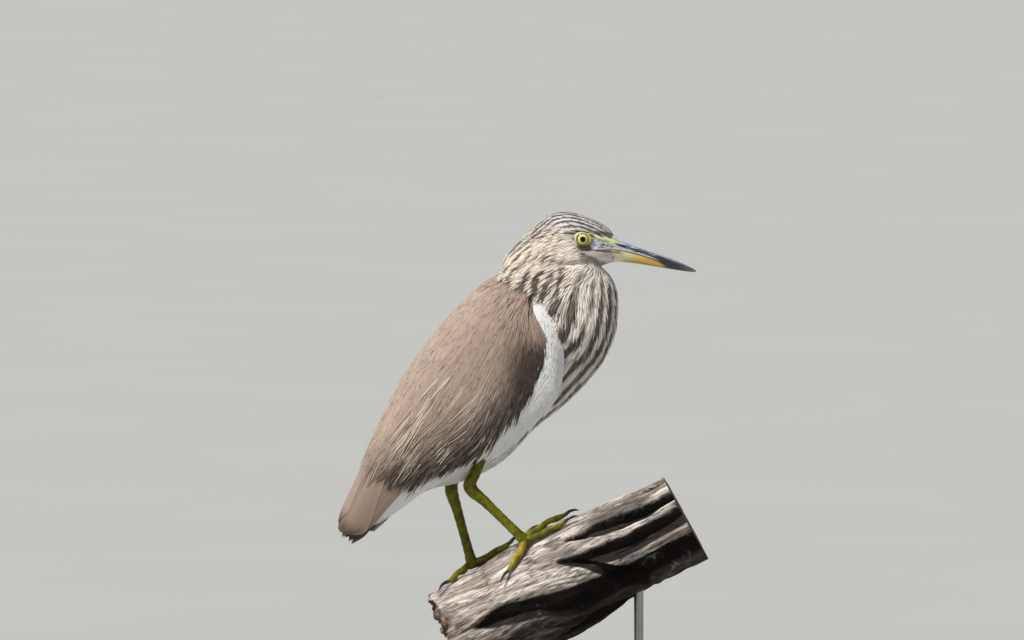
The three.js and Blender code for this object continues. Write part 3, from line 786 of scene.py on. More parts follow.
@dataclass(frozen=True)
class DeadWoodFinish:
    """Weathered wood: grey ridges, brown flanks, black cracks."""

    relief: float = 0.0016  # height in metres

    def build(self) -> Material:
        """Grain is noise drawn out along the branch over the painted relief.

        Returns:
            The material.
        """
        g = Graph("dead_wood")
        grain = g.grain(g.uv(), (110.0, 26.0, 1.0), 6.0, 0.66)
        fibres = g.grain(g.uv(), (420.0, 44.0, 1.0), 4.0, 0.62)
        pits = g.noise(g.place(), 420.0, 5.0, 0.7)
        crack = 1 - abs(g.grain(g.uv(), (60.0, 7.0, 1.0), 3.0, 0.6) - 0.5).step(0.0, 0.034)
        lichen = g.noise(g.place(), 45.0, 4.0, 0.6).step(0.58, 0.72)
        base = g.toned(g.tint(), 0.4 * grain + 0.35 * fibres + 0.25 * pits, 0.1, 2.15)
        base = g.shade(pits.step(0.36, 0.3) * 0.6, base, "3b322c")
        base = g.shade(crack * 0.85, base, "1d1713")
        return g.finish(
            Base_Color=g.shade(lichen * pits.step(0.45, 0.6) * 0.5, base, "b5b3aa"),
            Roughness=0.84 + 0.14 * (pits - 0.5),
            Normal=g.bump(0.4 * grain + 0.3 * fibres + 0.3 * pits - 0.25 * crack, self.relief, 0.9),
            Specular_IOR_Level=0.15,
        )


@dataclass(frozen=True)
class StandWoodFinish:
    """Dark stained wood of the base, satin lacquered."""

    lacquer: float = 0.35  # weight of the clear coat

    def build(self) -> Material:
        """Uneven grain from drawn-out noise along the board, with fine pores.

        Returns:
            The material.
        """
        g = Graph("stand_wood")
        broad = g.grain(g.place(), (3.0, 34.0, 34.0), 2.0, 0.5)
        veins = g.grain(g.place(), (9.0, 160.0, 160.0), 4.0, 0.62)
        pores = g.grain(g.place(), (40.0, 1100.0, 1100.0), 4.0)
        share = 0.45 * broad.step(0.3, 0.7) + 0.35 * veins.step(0.3, 0.7) + 0.2 * pores
        return g.finish(
            Base_Color=g.shade(share, "24170f", "5c3d27"),
            Roughness=0.34 + 0.16 * pores,
            Normal=g.bump(pores, 0.0002, 0.4),
            Coat_Weight=self.lacquer,
            Coat_Roughness=0.2,
        )


@dataclass(frozen=True)
class SteelFinish:
    """Brushed steel of the rods."""

    marks: float = 4200.0  # cells of noise per metre of height

    def build(self) -> Material:
        """Fine turning marks round the rod.

        Returns:
            The material.
        """
        g = Graph("rod_steel")
        marks = g.grain(g.place(), (60.0, 60.0, self.marks), 3.0)
        smudge = g.noise(g.place(), 60.0)
        return g.finish(
            Base_Color=g.shade(smudge, "8f8d88", "b9b6ae"),
            Roughness=0.24 + 0.16 * marks + 0.1 * smudge,
            Normal=g.bump(marks, 0.00005, 0.5),
            Metallic=1.0,
        )


@dataclass(frozen=True)
class FloorFinish:
    """Plain pale floor, nearly even matt grey."""

    roughness: float = 0.9

    def build(self) -> Material:
        """Slow noise between two close greys.

        Returns:
            The material.
        """
        g = Graph("studio_floor")
        base = g.shade(g.noise(g.place(), 3.0, 2.0), "a7a8a7", "adaeac")
        return g.finish(Base_Color=base, Roughness=self.roughness, Specular_IOR_Level=0.1)


# ---- sheets that feathers lie on


class Sheet:
    """A smooth surface of two parameters."""

    nudge = (0.02, 0.02)  # half of each step that the slopes are measured over
    outward = 1.0  # sign that turns the normal outwards
    span = ((0.0, 1.0), (0.0, 1.0))  # lowest and highest of each parameter

    def point(self, a: Array, b: Array) -> Array:
        """Place at two parameters."""
        raise NotImplementedError

    def slopes(self, a: Array, b: Array) -> tuple[Array, Array]:
        """Change of place with each parameter, by central differences.

        Args:
            a: First parameters.
            b: Second parameters.

        Returns:
            Change along the first and along the second.
        """
        ea, eb = self.nudge
        along = (self.point(a + ea, b) - self.point(a - ea, b)) / (2 * ea)
        return along, (self.point(a, b + eb) - self.point(a, b - eb)) / (2 * eb)

    def normal(self, a: Array, b: Array) -> Array:
        """Outward unit normal."""
        return unit(np.cross(*self.slopes(a, b))) * self.outward

    def stride(self, a: Array, b: Array, way: Array, length: Array) -> tuple[Array, Array]:
        """Moves over the sheet.

        The wanted step is split along the two slopes by least squares, which solves a pair of
        equations in their dot products.

        Args:
            a: First parameters.
            b: Second parameters.
            way: Unit directions in the sheet.
            length: Lengths of the steps.

        Returns:
            The new parameters.
        """
        along, across = self.slopes(a, b)
        aa, bb, ab = ((x * y).sum(-1) for x, y in ((along, along), (across, across), (along, across)))
        wa, wb = (along * way).sum(-1) * length, (across * way).sum(-1) * length
        det = np.maximum(aa * bb - ab * ab, 1e-6 * aa * bb + 1e-9)
        return a + (wa * bb - wb * ab) / det, b + (wb * aa - wa * ab) / det

    def unwrap(self, a: Array, b: Array) -> Array:
        """Place of two parameters in a unit square."""
        shares = [(x - low) / (high - low) for x, (low, high) in zip((a, b), self.span)]
        return np.clip(np.stack(shares, -1), 0, 1)


def station(u_back: float, w_back: float, u_front: float, w_front: float, *rest: float) -> tuple:
    """Row of the trunk given in the body's frame: back x, z, front x, z, half width, egg."""
    back, front = BODY.point(u_back, 0, w_back), BODY.point(u_front, 0, w_front)
    return (back[0], back[2], front[0], front[2], *rest)


TRUNK_ROWS = (
    station(41, 19, 36, -8, 6, 0),
    station(51, 27, 46, -12, 13, 0),
    station(71, 36.5, 62, -19, 20, 0.05),
    station(97, 42.5, 84, -36, 26.5, 0.08),
    station(126, 46, 112, -48, 31, 0.08),
    station(156, 46, 143, -50.5, 33, 0.06),
    station(183, 44, 175, -57.5, 33, 0.06),
    station(203, 40.5, 207, -60, 31, 0.1),
    station(219, 38, 232, -55, 27, 0.14),
    (-4.5, 342.5, 75.6, 303, 23, 0.14),
    (3, 351.5, 76, 317, 20, 0.12),
    (11.5, 360, 73, 328, 17.8, 0.08),
    (20, 368, 66.5, 335.2, 16.6, 0.02),
    (29, 375.2, 64.8, 337, 16.3, -0.02),
    (42, 376.8, 66.4, 338.4, 15.8, -0.04),
    (56.5, 372.6, 70.5, 339.8, 13.0, -0.06),
    (67.5, 367.2, 75, 341.2, 8.7, -0.04),
    (73.5, 362.2, 78.4, 343.6, 6.5, 0),
)
# Height of the crease under cheek and jaw at distances forward of the eye.
JAW_FOLD = Table(((-36, -19), (-14, -22), (-4, -20.2), (6, -17.2), (19, -16.8)))


@dataclass
class Trunk(Sheet):
    """Body, neck and head as one form: station from the tail's root to the bill's root, and turn
    from the back (0) over the left side to the front (pi)."""

    table: Table = Table(tuple((float(i), *row) for i, row in enumerate(TRUNK_ROWS)))
    span = ((-0.3, 17.3), (-HALF_TURN, HALF_TURN))

    def point(self, a: Array, b: Array) -> Array:
        """Place at a station and turn.

        The ring at a station stands on the line from its front to its back point.  Its two
        half axes go with the 2/2.3 power of sine and cosine, and the back is wider by egg.  A
        crease under cheek and jaw draws the sides in.

        Args:
            a: Stations.
            b: Turns.

        Returns:
            Places, last axis x, y, z.
        """
        back_x, back_z, front_x, front_z, half, egg = np.moveaxis(self.table.at(a), -1, 0)
        side = half * power(np.sin(b), SQUARENESS) * (1 + egg * np.cos(b))
        up = power(np.cos(b), SQUARENESS) / 2
        middle_x, middle_z = (back_x + front_x) / 2, (back_z + front_z) / 2
        place = np.stack([middle_x + (back_x - front_x) * up, side, middle_z + (back_z - front_z) * up], -1)
        f, g = HEAD.of(place)
        place[..., 1] *= 1 - 0.11 * bell(g - JAW_FOLD.one(f), 2.4) * smooth(-36, -12, f) * fall(16, 22, f)
        return place


# Distance up the back, then the wing's highest and lowest height out from the body's axis, its
# half width and the height of its lower edge.
WING_TABLE = Table((
    (-4, 18, -8, 6.5, -4.5),
    (10, 23, -12, 12.5, -6),
    (36, 29.3, -22, 20, -9),
    (70, 38.5, -38, 28.5, -18),
    (104, 45.8, -53, 34.5, -34),
    (134, 48.6, -63, 37.5, -44),
    (170, 48.4, -68, 38.5, -47.5),
    (198, 44.5, -64, 37, -42),
    (216, 40, -58, 34.5, -34),
    (236, 32, -52, 31, -24),
))
# Front end of the wing for each share of the way from the spine to its lower edge.
WING_FRONT = Table(((0, 226), (0.3, 228), (0.55, 228), (0.8, 218), (1, 197)))


@dataclass
class WingSheet(Sheet):
    """Outer surface of one folded wing: u up the back, v from the spine (0) to the lower edge (1)."""

    side: int
    nudge = (0.6, 0.01)
    span = ((-8.0, 242.0), (-0.05, 1.1))

    @property
    def outward(self) -> float:
        """Sign that turns the normal away from the body."""
        return float(self.side)

    def point(self, a: Array, b: Array) -> Array:
        """Place at u and v: a squared ellipse round the body's axis, cut off at the lower edge.

        Towards the front the wing curls in, so that the neck's feathers can fall over it.

        Args:
            a: Distances up the back.
            b: Shares of the way to the lower edge.

        Returns:
            Places, last axis x, y, z.
        """
        high, low, half, edge = np.moveaxis(WING_TABLE.at(a), -1, 0)
        middle, reach = (high + low) / 2, (high - low) / 2
        turn = b * np.arccos(np.clip(power((edge - middle) / reach, 1 / SQUARENESS), -0.98, 0.98))
        curl = 1 - 0.13 * smooth(-22, 6, a - WING_FRONT.one(b))
        side = self.side * half * curl * power(np.sin(turn), SQUARENESS)
        return BODY.point(a, side, middle + reach * curl * power(np.cos(turn), SQUARENESS))


# ---- small feathers


@dataclass(frozen=True)
class Vane:
    """Outline and section of one kind of small feather."""

    rows: int
    root: float  # width at the root, as a share
    widest: float  # where the full width is reached
    blunt: float  # larger makes a rounder tip
    ridge: float  # height of the shaft over the edges, as a share of the half width

    @cached_property
    def marks(self) -> Array:
        """Where along the feather its sections lie, closer together towards the tip."""
        return 1 - (1 - np.arange(self.rows + 1) / self.rows) ** 1.25

    def half_width(self, s: Array) -> Array:
        """Half width as a share: a rising line, then a rounded fall to nothing at the tip."""
        rise = np.minimum(1, self.root + (1 - self.root) * s / self.widest)
        return rise * np.sqrt(np.maximum(0, 1 - s**self.blunt))


class VaneKind(Enum):
    """Kinds of small feather."""

    HAIR = Vane(4, 0.5, 0.3, 1.5, 0.3)
    STREAMER = Vane(9, 0.6, 0.3, 1.4, 0.3)
    PLUME = Vane(5, 0.4, 0.4, 2.0, 0.22)
    FACE = Vane(4, 0.5, 0.35, 2.2, 0.25)
    SILK = Vane(5, 0.5, 0.35, 1.6, 0.08)


@dataclass
class Roots:
    """Where feathers are rooted on a sheet and how large each is."""

    a: Array
    b: Array
    length: Array
    width: Array
    depth: Array  # of the root, under the sheet
    lift: Array  # of the tip, off the sheet
    yaw: Array  # turn from the lie, in radians

    def keep(self, mask: Array) -> "Roots":
        """Only the feathers that a mask names."""
        return Roots(*(values[mask] for values in vars(self).values()))


def scatter(sheet: Sheet, spans: tuple, spacing: Callable, seed: float) -> tuple[Array, Array]:
    """Spreads roots evenly over part of a sheet.

    The sheet is cut in cells, each worth its area over the square of the spacing there.  A
    low-discrepancy sequence of number pairs is sent through the running sums of these worths,
    first down the rows, then along the row that it meets.

    Args:
        sheet: The sheet.
        spans: Lowest and highest of each parameter.
        spacing: Function of parameters and places that gives the distance between roots, or
            infinity where none grow.
        seed: Start of the sequence.

    Returns:
        The two parameters of each root.
    """
    rows, columns = 180, 160
    (a0, a1), (b0, b1) = spans
    a = a0 + (np.arange(rows) + 0.5) / rows * (a1 - a0)
    b = b0 + (np.arange(columns) + 0.5) / columns * (b1 - b0)
    a, b = lattice(a, b)
    area = np.linalg.norm(np.cross(*sheet.slopes(a, b)), axis=-1) * (a1 - a0) * (b1 - b0) / a.size
    worth = area / spacing(a, b, sheet.point(a, b)) ** 2
    k = np.arange(int(worth.sum())) + seed * 1000
    first, second = ((k * step) % 1 for step in PAIR_STEPS)
    down = np.concatenate([[0], np.cumsum(worth.sum(1))])
    place = first * down[-1]
    row = np.clip(np.searchsorted(down, place, side="right") - 1, 0, rows - 1)
    part_a = (place - down[row]) / np.maximum(down[row + 1] - down[row], 1e-12)
    sums = np.cumsum(worth, 1)
    share = np.concatenate([np.zeros((rows, 1)), sums / np.maximum(sums[:, -1:], 1e-12)], 1)
    line = (share + 2 * np.arange(rows)[:, None]).ravel()
    found = np.searchsorted(line, 2 * row + second * 0.999999, side="right") - 1
    column = np.clip(found - row * (columns + 1), 0, columns - 1)
    low, high = share[row, column], share[row, column + 1]
    part_b = (second - low) / np.maximum(high - low, 1e-12)
    return a0 + (row + part_a) / rows * (a1 - a0), b0 + (column + part_b) / columns * (b1 - b0)


@dataclass
class Spots:
    """Corners of a coat's vanes that want a colour, axes feather, section and corner across."""

    places: Array
    a: Array
    b: Array
    s: Array  # share of the way from the root to the tip
    across: Array  # -1 and 1 at the edges, 0 at the shaft
    chance: Array  # four draws for each feather

    @property
    def outer(self) -> Array:
        """Where each feather's outer part lies."""
        return self.places[:, -3:-2, 1:2]

    @property
    def draws(self) -> Array:
        """The four draws, each with the axes of the corners."""
        return self.chance.T[..., None, None]


@dataclass
class Coat:
    """Many small feathers over one sheet, made as one closed shape."""

    sheet: Sheet
    roots: Roots
    kind: VaneKind
    lie: SideField
    paint: Callable
    seed: int = 1

    def spines(self) -> tuple[Array, Array, Array, Array]:
        """Traces the shaft of every feather over the sheet.

        From its root a shaft goes step by step in the lie's direction, laid into the sheet and
        turned by the feather's yaw, and its height runs from the root's depth to the tip's lift.

        Returns:
            Points and normals, axes feather, section, and x, y, z, and both parameters.
        """
        r, marks = self.roots, self.kind.value.marks
        a, b = r.a, r.b
        steps = []
        c, s = np.cos(r.yaw)[:, None], np.sin(r.yaw)[:, None]
        for mark, gap in zip(marks, [*np.diff(marks), 0]):
            here, normal = self.sheet.point(a, b), self.sheet.normal(a, b)
            height = mix(-r.depth, r.lift, mark**0.75)
            steps.append((here + normal * height[:, None], normal, a, b))
            if gap:
                x, z = self.lie.at(here).T
                way = np.stack([x, 0 * x, z], -1)
                way = unit(way - dot(way, normal) * normal)
                a, b = self.sheet.stride(a, b, way * c + np.cross(normal, way) * s, r.length * gap)
        return tuple(np.stack(values, 1) for values in zip(*steps))

    def shape(self) -> Shape:
        """Builds the vanes: three corners a section, left, shaft and right, and one at the tip.

        Returns:
            The closed vanes with painted colour and both UV maps.
        """
        def packed(values: Array) -> Array:
            """Values of each feather's corners in a row, of which the tip has only the shaft's."""
            body = values[:, :-1].reshape(len(values), -1, values.shape[-1])
            return np.concatenate([body, values[:, -1:, 1]], 1)

        vane, r = self.kind.value, self.roots
        points, normals, a, b = self.spines()
        count, sections = points.shape[:2]
        forward = unit(np.gradient(points, axis=1))
        left = unit(np.cross(normals, forward))
        half = (r.width[:, None] / 2 * vane.half_width(vane.marks)[None])[..., None]
        ridge = points + np.cross(forward, left) * (half * vane.ridge + 0.05)
        corners = np.stack([points + left * half, ridge, points - left * half], 2)
        chance = np.random.default_rng(self.seed).random((count, 4))
        across = np.array([-1.0, 0.0, 1.0])
        spots = Spots(corners, a[..., None], b[..., None], vane.marks[None, :, None], across, chance)
        along = np.broadcast_to((vane.marks[None] * r.length[:, None])[..., None], (count, sections, 3))
        uv = packed(np.stack([half * across, along], -1)) * 0.01 + chance[:, None, :2] * 7
        small = np.stack(np.broadcast_arrays(0.5 + across / 2, vane.marks[:, None]), -1)
        bake = self.sheet.unwrap(r.a, r.b)[:, None] * ROOT_SHARE + PATCH_SHARE * packed(small[None])
        tint = packed(np.broadcast_to(self.paint(spots), (count, sections, 3, 3)))
        size = 3 * sections - 2
        start = (np.arange(count) * size)[:, None, None]
        quads, triangles = ((part + start).reshape(-1, part.shape[-1]) for part in self.faces(sections, size))
        corners, tint, uv, bake = (v.reshape(-1, v.shape[-1]) for v in (packed(corners), tint, uv, bake))
        return Shape(corners, quads, triangles, tint, uv, bake)

    @staticmethod
    def faces(sections: int, size: int) -> tuple[Array, Array]:
        """Faces of one vane, turned outwards.

        Args:
            sections: Number of sections, the tip's included.
            size: Number of corners.

        Returns:
            Its quads and triangles.
        """
        i = np.arange(sections - 2)[:, None] * 3
        pairs = np.array([[0, 1], [1, 2], [2, 0]])
        quads = np.stack([i + pairs[:, 0], i + pairs[:, 1], i + 3 + pairs[:, 1], i + 3 + pairs[:, 0]], -1)
        last = (sections - 2) * 3
        tip = np.stack([pairs[:, 0] + last, pairs[:, 1] + last, np.full(3, size - 1)], -1)
        return quads.reshape(-1, 4), np.concatenate([tip, [[0, 2, 1]]])


# ---- markings

LIE_OF_TRUNK = SideField((
    (46, 376.1, -1, 0.02), (67.9, 365.1, -0.85, 0.45), (56.9, 371, -0.95, 0.25),
    (31.4, 374.6, -0.95, -0.3), (20.4, 369.5, -0.82, -0.57), (5.8, 356.4, -0.7, -0.7),
    (-5.1, 340.3, -0.7, -0.7), (42.3, 362.2, -0.98, 0.1), (31.4, 356.4, -0.93, -0.35),
    (35, 349.1, -0.92, -0.38), (46, 347.6, -0.97, -0.2), (56.9, 345.4, -0.97, -0.2),
    (67.9, 343.2, -0.97, 0.15), (20.4, 340.3, -0.8, -0.6), (9.5, 340.3, -0.75, -0.66),
    (64.2, 334.5, -0.35, -0.9), (53.3, 333, -0.65, -0.75), (42.3, 330.1, -0.75, -0.66),
    (29.9, 321.3, -0.6, -0.8), (24.1, 312.6, -0.5, -0.87), (67.9, 327.2, 0.15, -1),
    (52.6, 319.9, -0.08, -1), (52.6, 306.7, -0.1, -1), (44.5, 288.5, -0.45, -0.9),
    (35, 279, -0.65, -0.76), (72.3, 316.2, 0.08, -1), (73.7, 300.1, -0.02, -1), (68.3, 279, -0.35, -0.94),
    (62, 267.3, -0.55, -0.83), (55.5, 257.8, -0.62, -0.78), (41.6, 241, -0.7, -0.7),
    (26.3, 228.6, -0.78, -0.62), (9.5, 213.3, -0.8, -0.6), (38.7, 299.4, -0.25, -0.97),
    (26.3, 283.4, -0.4, -0.9), (35, 261.5, -0.55, -0.83), (27.7, 243.2, -0.65, -0.76),
    (-8.8, 203.1, -0.78, -0.62), (-16.1, 188.5, -0.82, -0.57), (-45.3, 177.5, -0.85, -0.5),
    (-67.2, 173.9, -0.86, -0.48), (-81.8, 166.6, -0.8, -0.6),
))
LIE_OF_CAPE = SideField((
    (-8.8, 334.5, -0.75, -0.66), (5.8, 330.8, -0.6, -0.8), (-5.1, 316.2, -0.55, -0.83),
    (13.1, 312.6, -0.3, -0.95), (-27, 312.6, -0.68, -0.73), (13.1, 279.7, -0.1, -1),
    (5.8, 243.2, -0.22, -0.97), (-8.8, 268.8, -0.22, -0.97), (-23.4, 283.4, -0.42, -0.9),
    (-41.6, 294.3, -0.6, -0.8), (-56.2, 272.4, -0.58, -0.82), (-16.1, 225, -0.35, -0.93),
    (-30.7, 225, -0.6, -0.8), (-45.3, 217.7, -0.72, -0.69), (-59.9, 239.6, -0.45, -0.89),
    (-74.5, 217.7, -0.5, -0.86), (-52.6, 195.8, -0.7, -0.71), (-81.8, 195.8, -0.55, -0.83),
    (-92.7, 210.4, -0.48, -0.88), (-103.7, 181.2, -0.45, -0.89), (-118.3, 152, -0.45, -0.9),
    (-30.7, 199.4, -0.7, -0.7), (-74.5, 181.2, -0.62, -0.78), (19.5, 303, 0.32, -0.95),
    (22.5, 288, 0.12, -1), (20, 262, -0.22, -0.97),
))
LIE_OF_COVERTS = SideField((
    (19, 304, 0.3, -0.95), (25, 287, 0.1, -1), (20, 264, -0.3, -0.95), (2, 243, -0.55, -0.83),
    (-25, 217, -0.66, -0.75), (-60, 190, -0.72, -0.7),
))
# Share of dark in the streaks of head, neck and breast.
STREAK_SHARE = SideField((
    (46, 376.1, 0.6), (67.9, 365.1, 0.55), (56.9, 369.5, 0.6), (31.4, 373.1, 0.55), (20.4, 367.3, 0.45),
    (5.8, 356.4, 0.35), (-5.1, 340.3, 0.3), (42.3, 365.1, 0.4), (35, 360, 0.25), (27.7, 352.7, 0.18),
    (38.7, 349.1, 0.12), (49.6, 346.1, 0.1), (20.4, 340.3, 0.25), (19, 322.5, 0.9), (13.5, 328, 0.75),
    (9.5, 335.9, 0.4), (31.4, 335.9, 0.35), (42.3, 333, 0.35), (56.9, 338.8, 0.08), (64.2, 330.8, 0.3),
    (29.9, 321.3, 0.4), (24.1, 312.6, 0.55), (52.6, 319.9, 0.12), (52.6, 306.7, 0.14),
    (44.5, 288.5, 0.42), (39.4, 301.6, 0.85), (36.5, 294.3, 0.85), (29.9, 299.4, 0.4), (31.4, 276.1, 0.5),
    (64.2, 312.6, 0.5), (72.3, 312.6, 0.55), (73.7, 300.1, 0.55), (67.9, 279, 0.55), (56.9, 283.4, 0.6),
    (55.5, 257.8, 0.45), (41.6, 241, 0.45), (26.3, 228.6, 0.4), (9.5, 213.3, 0.35), (24.1, 243.2, 0.5),
    (-8.8, 203.1, 0), (-1.5, 210.4, 0), (-23.4, 188.5, 0),
))

# Lower edge of the lore at distances forward of the eye, and height and slope of the gape.
LORE_EDGE = Table(((4, -5.0), (8, -5.3), (15, -3.8), (20, -2.2), (25, -1.2), (32, -1.0)))
GAPE = (-6.45, 0.08)


@dataclass(frozen=True)
class Markings:
    """Colours of the plumage at any place, alike for skin and feathers."""

    cream: str = "f3e9db"
    buff: str = "d8c8b3"
    pale: str = "f2ebe0"
    white: str = "ecebe9"
    soft: str = "8f7c6b"
    streak: str = "43382f"
    crown: str = "3b3435"
    crown_pale: str = "dedad5"
    mantle: str = "a08a7c"
    mantle_dark: str = "392f27"
    mantle_pale: str = "d6c7b4"

    def trunk(self, p: Array, a: Array, b: Array, chance: Array) -> tuple[Array, Array]:
        """Colour with its streaks and light colour alone, on the trunk.

        Dark streaks follow lines of equal turn, which run with the lie, spaced about 3 mm apart
        on the crown and 7 mm on the foreneck.  The share of dark sets how wide they are, and
        noise breaks them up.

        Args:
            p: Places.
            a: Stations.
            b: Turns.
            chance: A draw between 0 and 1 for each feather.

        Returns:
            Linear colours, and the same colours without streaks.
        """
        turn, share = np.abs(b), STREAK_SHARE.at(p)[..., 0]
        front, head = smooth(1.55, 1.8, turn) * fall(10.4, 11.2, a), smooth(10.8, 11.8, a)
        waver = 0.05 * noise(p, 0.09, 3)
        bold = np.cos(23.7 * (turn + waver - 2.07))
        neck = np.cos(33 * (turn + 2.4 * waver))
        crown = np.cos(mix(29, 21, smooth(13.2, 16.6, a)) * (turn + 0.8 * waver) + 0.6)
        wave = mix(mix(neck, bold, front), crown, head)
        steady = np.maximum(0.75 * front, head * smooth(0.3, 0.5, share))
        loose = 0.36 * noise(p * (0.5, 1.0, 0.5), 0.35, 5) + 0.42 * (chance - 0.5)
        wave = 0.5 + 0.42 * wave + mix(1, 0.45 + 0.3 * head, steady) * loose
        dark = smooth(-0.26, 0.26, wave - (1 - share)) * smooth(0.0, 0.1, share)
        light = layered(
            self.cream,
            (self.buff, fall(0.9, 1.8, turn) * 0.6 + 0.3 * noise(p, 0.06, 9)),
            (self.pale, front * smooth(5.0, 8.0, a) * 0.6),
            (self.pale, smooth(2.45, 2.9, turn) * smooth(10.8, 12.4, a)),
            (self.crown_pale, smooth(12, 13, a) * fall(0.9, 1.5, turn)),
        )
        ink = blend(self.soft, blend(self.streak, self.crown, head), smooth(0.14, 0.42, share))
        belly = fall(4.3, 5.2, a + 0.6 * noise(p, 0.12, 2))
        light, ink = blend(light, self.white, belly), blend(ink, self.white, belly)
        return blend(light, ink, dark), light

    def face(self, base: Array, p: Array) -> Array:
        """Adds the marks of the face, by distance f forward of the eye and height g above it.

        Args:
            base: Colours of the plumage.
            p: Places.

        Returns:
            The colours with lore, gape, moustache, the dark skin round the eye, a painted shadow
            below and in front of the eye, and painted shade on the underside of the chin.
        """
        def band(start: float, stop: float, fade: float, line: Array, half: Array, soft: float) -> Array:
            """Share of a band along f between two ends, round a line of g."""
            ends = smooth(start, start + fade, f) * fall(stop - fade, stop, f)
            return ends * fall(half - soft, half + soft, np.abs(g - line))

        f, g = HEAD.of(p)
        low, gape = LORE_EDGE.one(f), GAPE[0] + GAPE[1] * f
        speck, grain = noise(p * (0.7, 1.0, 1.5), 0.85, 41), noise(p * (0.3, 1.0, 1.1), 1.15, 41)
        bright, dim = 0.8 * smooth(0.0, 0.45, grain), 0.8 * smooth(0.05, 0.5, -grain)
        chin, line = (low + gape) / 2, 4.0 - 0.035 * f
        brow = mix(0.9, 1.5, smooth(8, 18, f)) * fall(21, 30, f)
        # Colour, share, both ends and their fade, line, half width and its softness.
        rows = (
            ("f2ebe0", 0.85, 1, 31, 6, -8.0 - 0.15 * (f - 5), 2.0, 0.8),
            ("6d5546", 0.8, -5, 19, 8, -11.0 - 0.2 * (f - 5), 1.0, 0.7),
            # Grey band low on the jaw: painted shade of the chin's underside.
            ("8d8a82", 0.75, -2, 24, 6, -14.0 - 0.1 * (f - 5), 2.2, 1.2),
            ("a6a7b2", 1, 4.5, 34, 2, (2.8 + low) / 2, (2.8 - low) / 2, 0.4),
            ("e2e0e4", bright, 6, 30, 3, (2.2 + low) / 2 + 0.4 * speck, (2.2 - low) / 2, 0.5),
            ("4d4955", dim, 6, 25, 3, (1.4 + low) / 2, (1.4 - low) / 3, 0.6),
            ("b5ad7f", 0.9, 9, 34, 4, chin, (low - gape) / 2, 0.3),
            ("7c764f", 0.7 * smooth(0.0, 0.5, speck), 9, 34, 4, chin, (low - gape) / 2, 0.3),
            ("ece6e0", 0.85, 6, 34, 3, low, 0.45, 0.25),
            ("3a3322", 0.85, 6, 36, 3, gape, 0.36, 0.25),
            ("e4e2c6", 0.8, 15, 34, 5, gape - 2.0, 1.6, 0.8),
            ("40342a", 0.85, 5, 23, 4, 6.6 + 0.06 * f, 1.2, 0.5),
            ("d9dd7c", 1, 7.0, 30.0, 3.0, line, brow, 0.45),
            ("eaedbe", 0.75, 8.5, 22.0, 3.0, line + 0.2 + 0.3 * speck, 0.7, 0.4),
        )
        socket = fall(4.9, 5.9, np.hypot(f * 0.86, g * 1.08))
        # Dark patch below and in front of the eye: painted shadow.
        shadow = 0.95 * fall(3.6, 5.6, np.hypot((f - 2.6) * 0.8, (g + 5.4) * 1.65))
        lash = 0.8 * band(-9, 5, 3, 5.6 + 0.05 * f, 0.5, 0.4)
        layers = [(shade, share * band(*where)) for shade, share, *where in rows]
        return layered(base, *layers, ("2b2a1f", np.maximum(np.maximum(socket, shadow), lash)))


MARKINGS = Markings()


def bare(p: Array) -> Array:
    """True where the face is bare: round the eye and between eye and bill.

    Args:
        p: Places.

    Returns:
        A mask.
    """
    f, g = HEAD.of(p)
    eye = np.hypot(f * 0.86, g * 1.06) < 5.6
    under = np.hypot((f - 2.8) * 0.8, (g + 5.0) * 1.5) < 3.9
    return eye | under | ((f > 3) & (g < 5.4) & (g > GAPE[0] - 0.5 + GAPE[1] * f))


# ---- the trunk's skin and plumage


@dataclass
class Skin:
    """One skin under the feathers of body, neck and head."""

    trunk: Trunk
    rings: int = 400
    around: int = 200
    # Station, and how deep the skin lies under the coat.
    depths: Table = Table(((0, 2.2), (4, 3.0), (8, 2.6), (11, 1.7), (13, 1.0), (15, 0.8), (17, 0.5)))

    def build(self) -> None:
        """Lofts the skin inside the trunk by the coat's depth, with face folds and markings."""
        stations = Table(((0, 0), (0.25, 7.5), (0.4, 11.5), (0.62, 14), (1, 17)))
        a, b = lattice(stations.one(np.linspace(0, 1, self.rings)), turns(self.around) - HALF_TURN)
        place = self.trunk.point(a, b)
        f, g = HEAD.of(place)
        along = smooth(6, 10, f) * smooth(4.0, 7.0, np.abs(place[..., 1]))
        mouth = 0.8 * bell(g - GAPE[0] - GAPE[1] * f, 0.4) * along
        rim = 0.3 * bell(g - LORE_EDGE.one(f), 0.5) * along
        stripe = 0.35 * np.exp(-(((g - 4.1 + 0.025 * f) / 1.2) ** 4)) * along
        crease = 0.3 * bell(g - 2.4 + 0.02 * f, 0.5) * along
        folds = 0.22 * noise(place * (0.6, 1, 1.6), 0.9, 17) * bare(place) * fall(14, 21, f)
        depth = np.where(bare(place), 0.35, self.depths.one(a)) + mouth - rim - stripe + crease + folds
        points = place - self.trunk.normal(np.clip(a, 0.02, 16.98), b) * depth[..., None]
        streaked, _ = MARKINGS.trunk(place, a, b, np.full(a.shape, 0.5))
        shape = tube(points, MARKINGS.face(streaked, place))
        finish = BareSkinFinish("bare_skin").build()
        add_piece("skin", shape, finish, "feathers_streaked", ["torso", "neck", "head"])


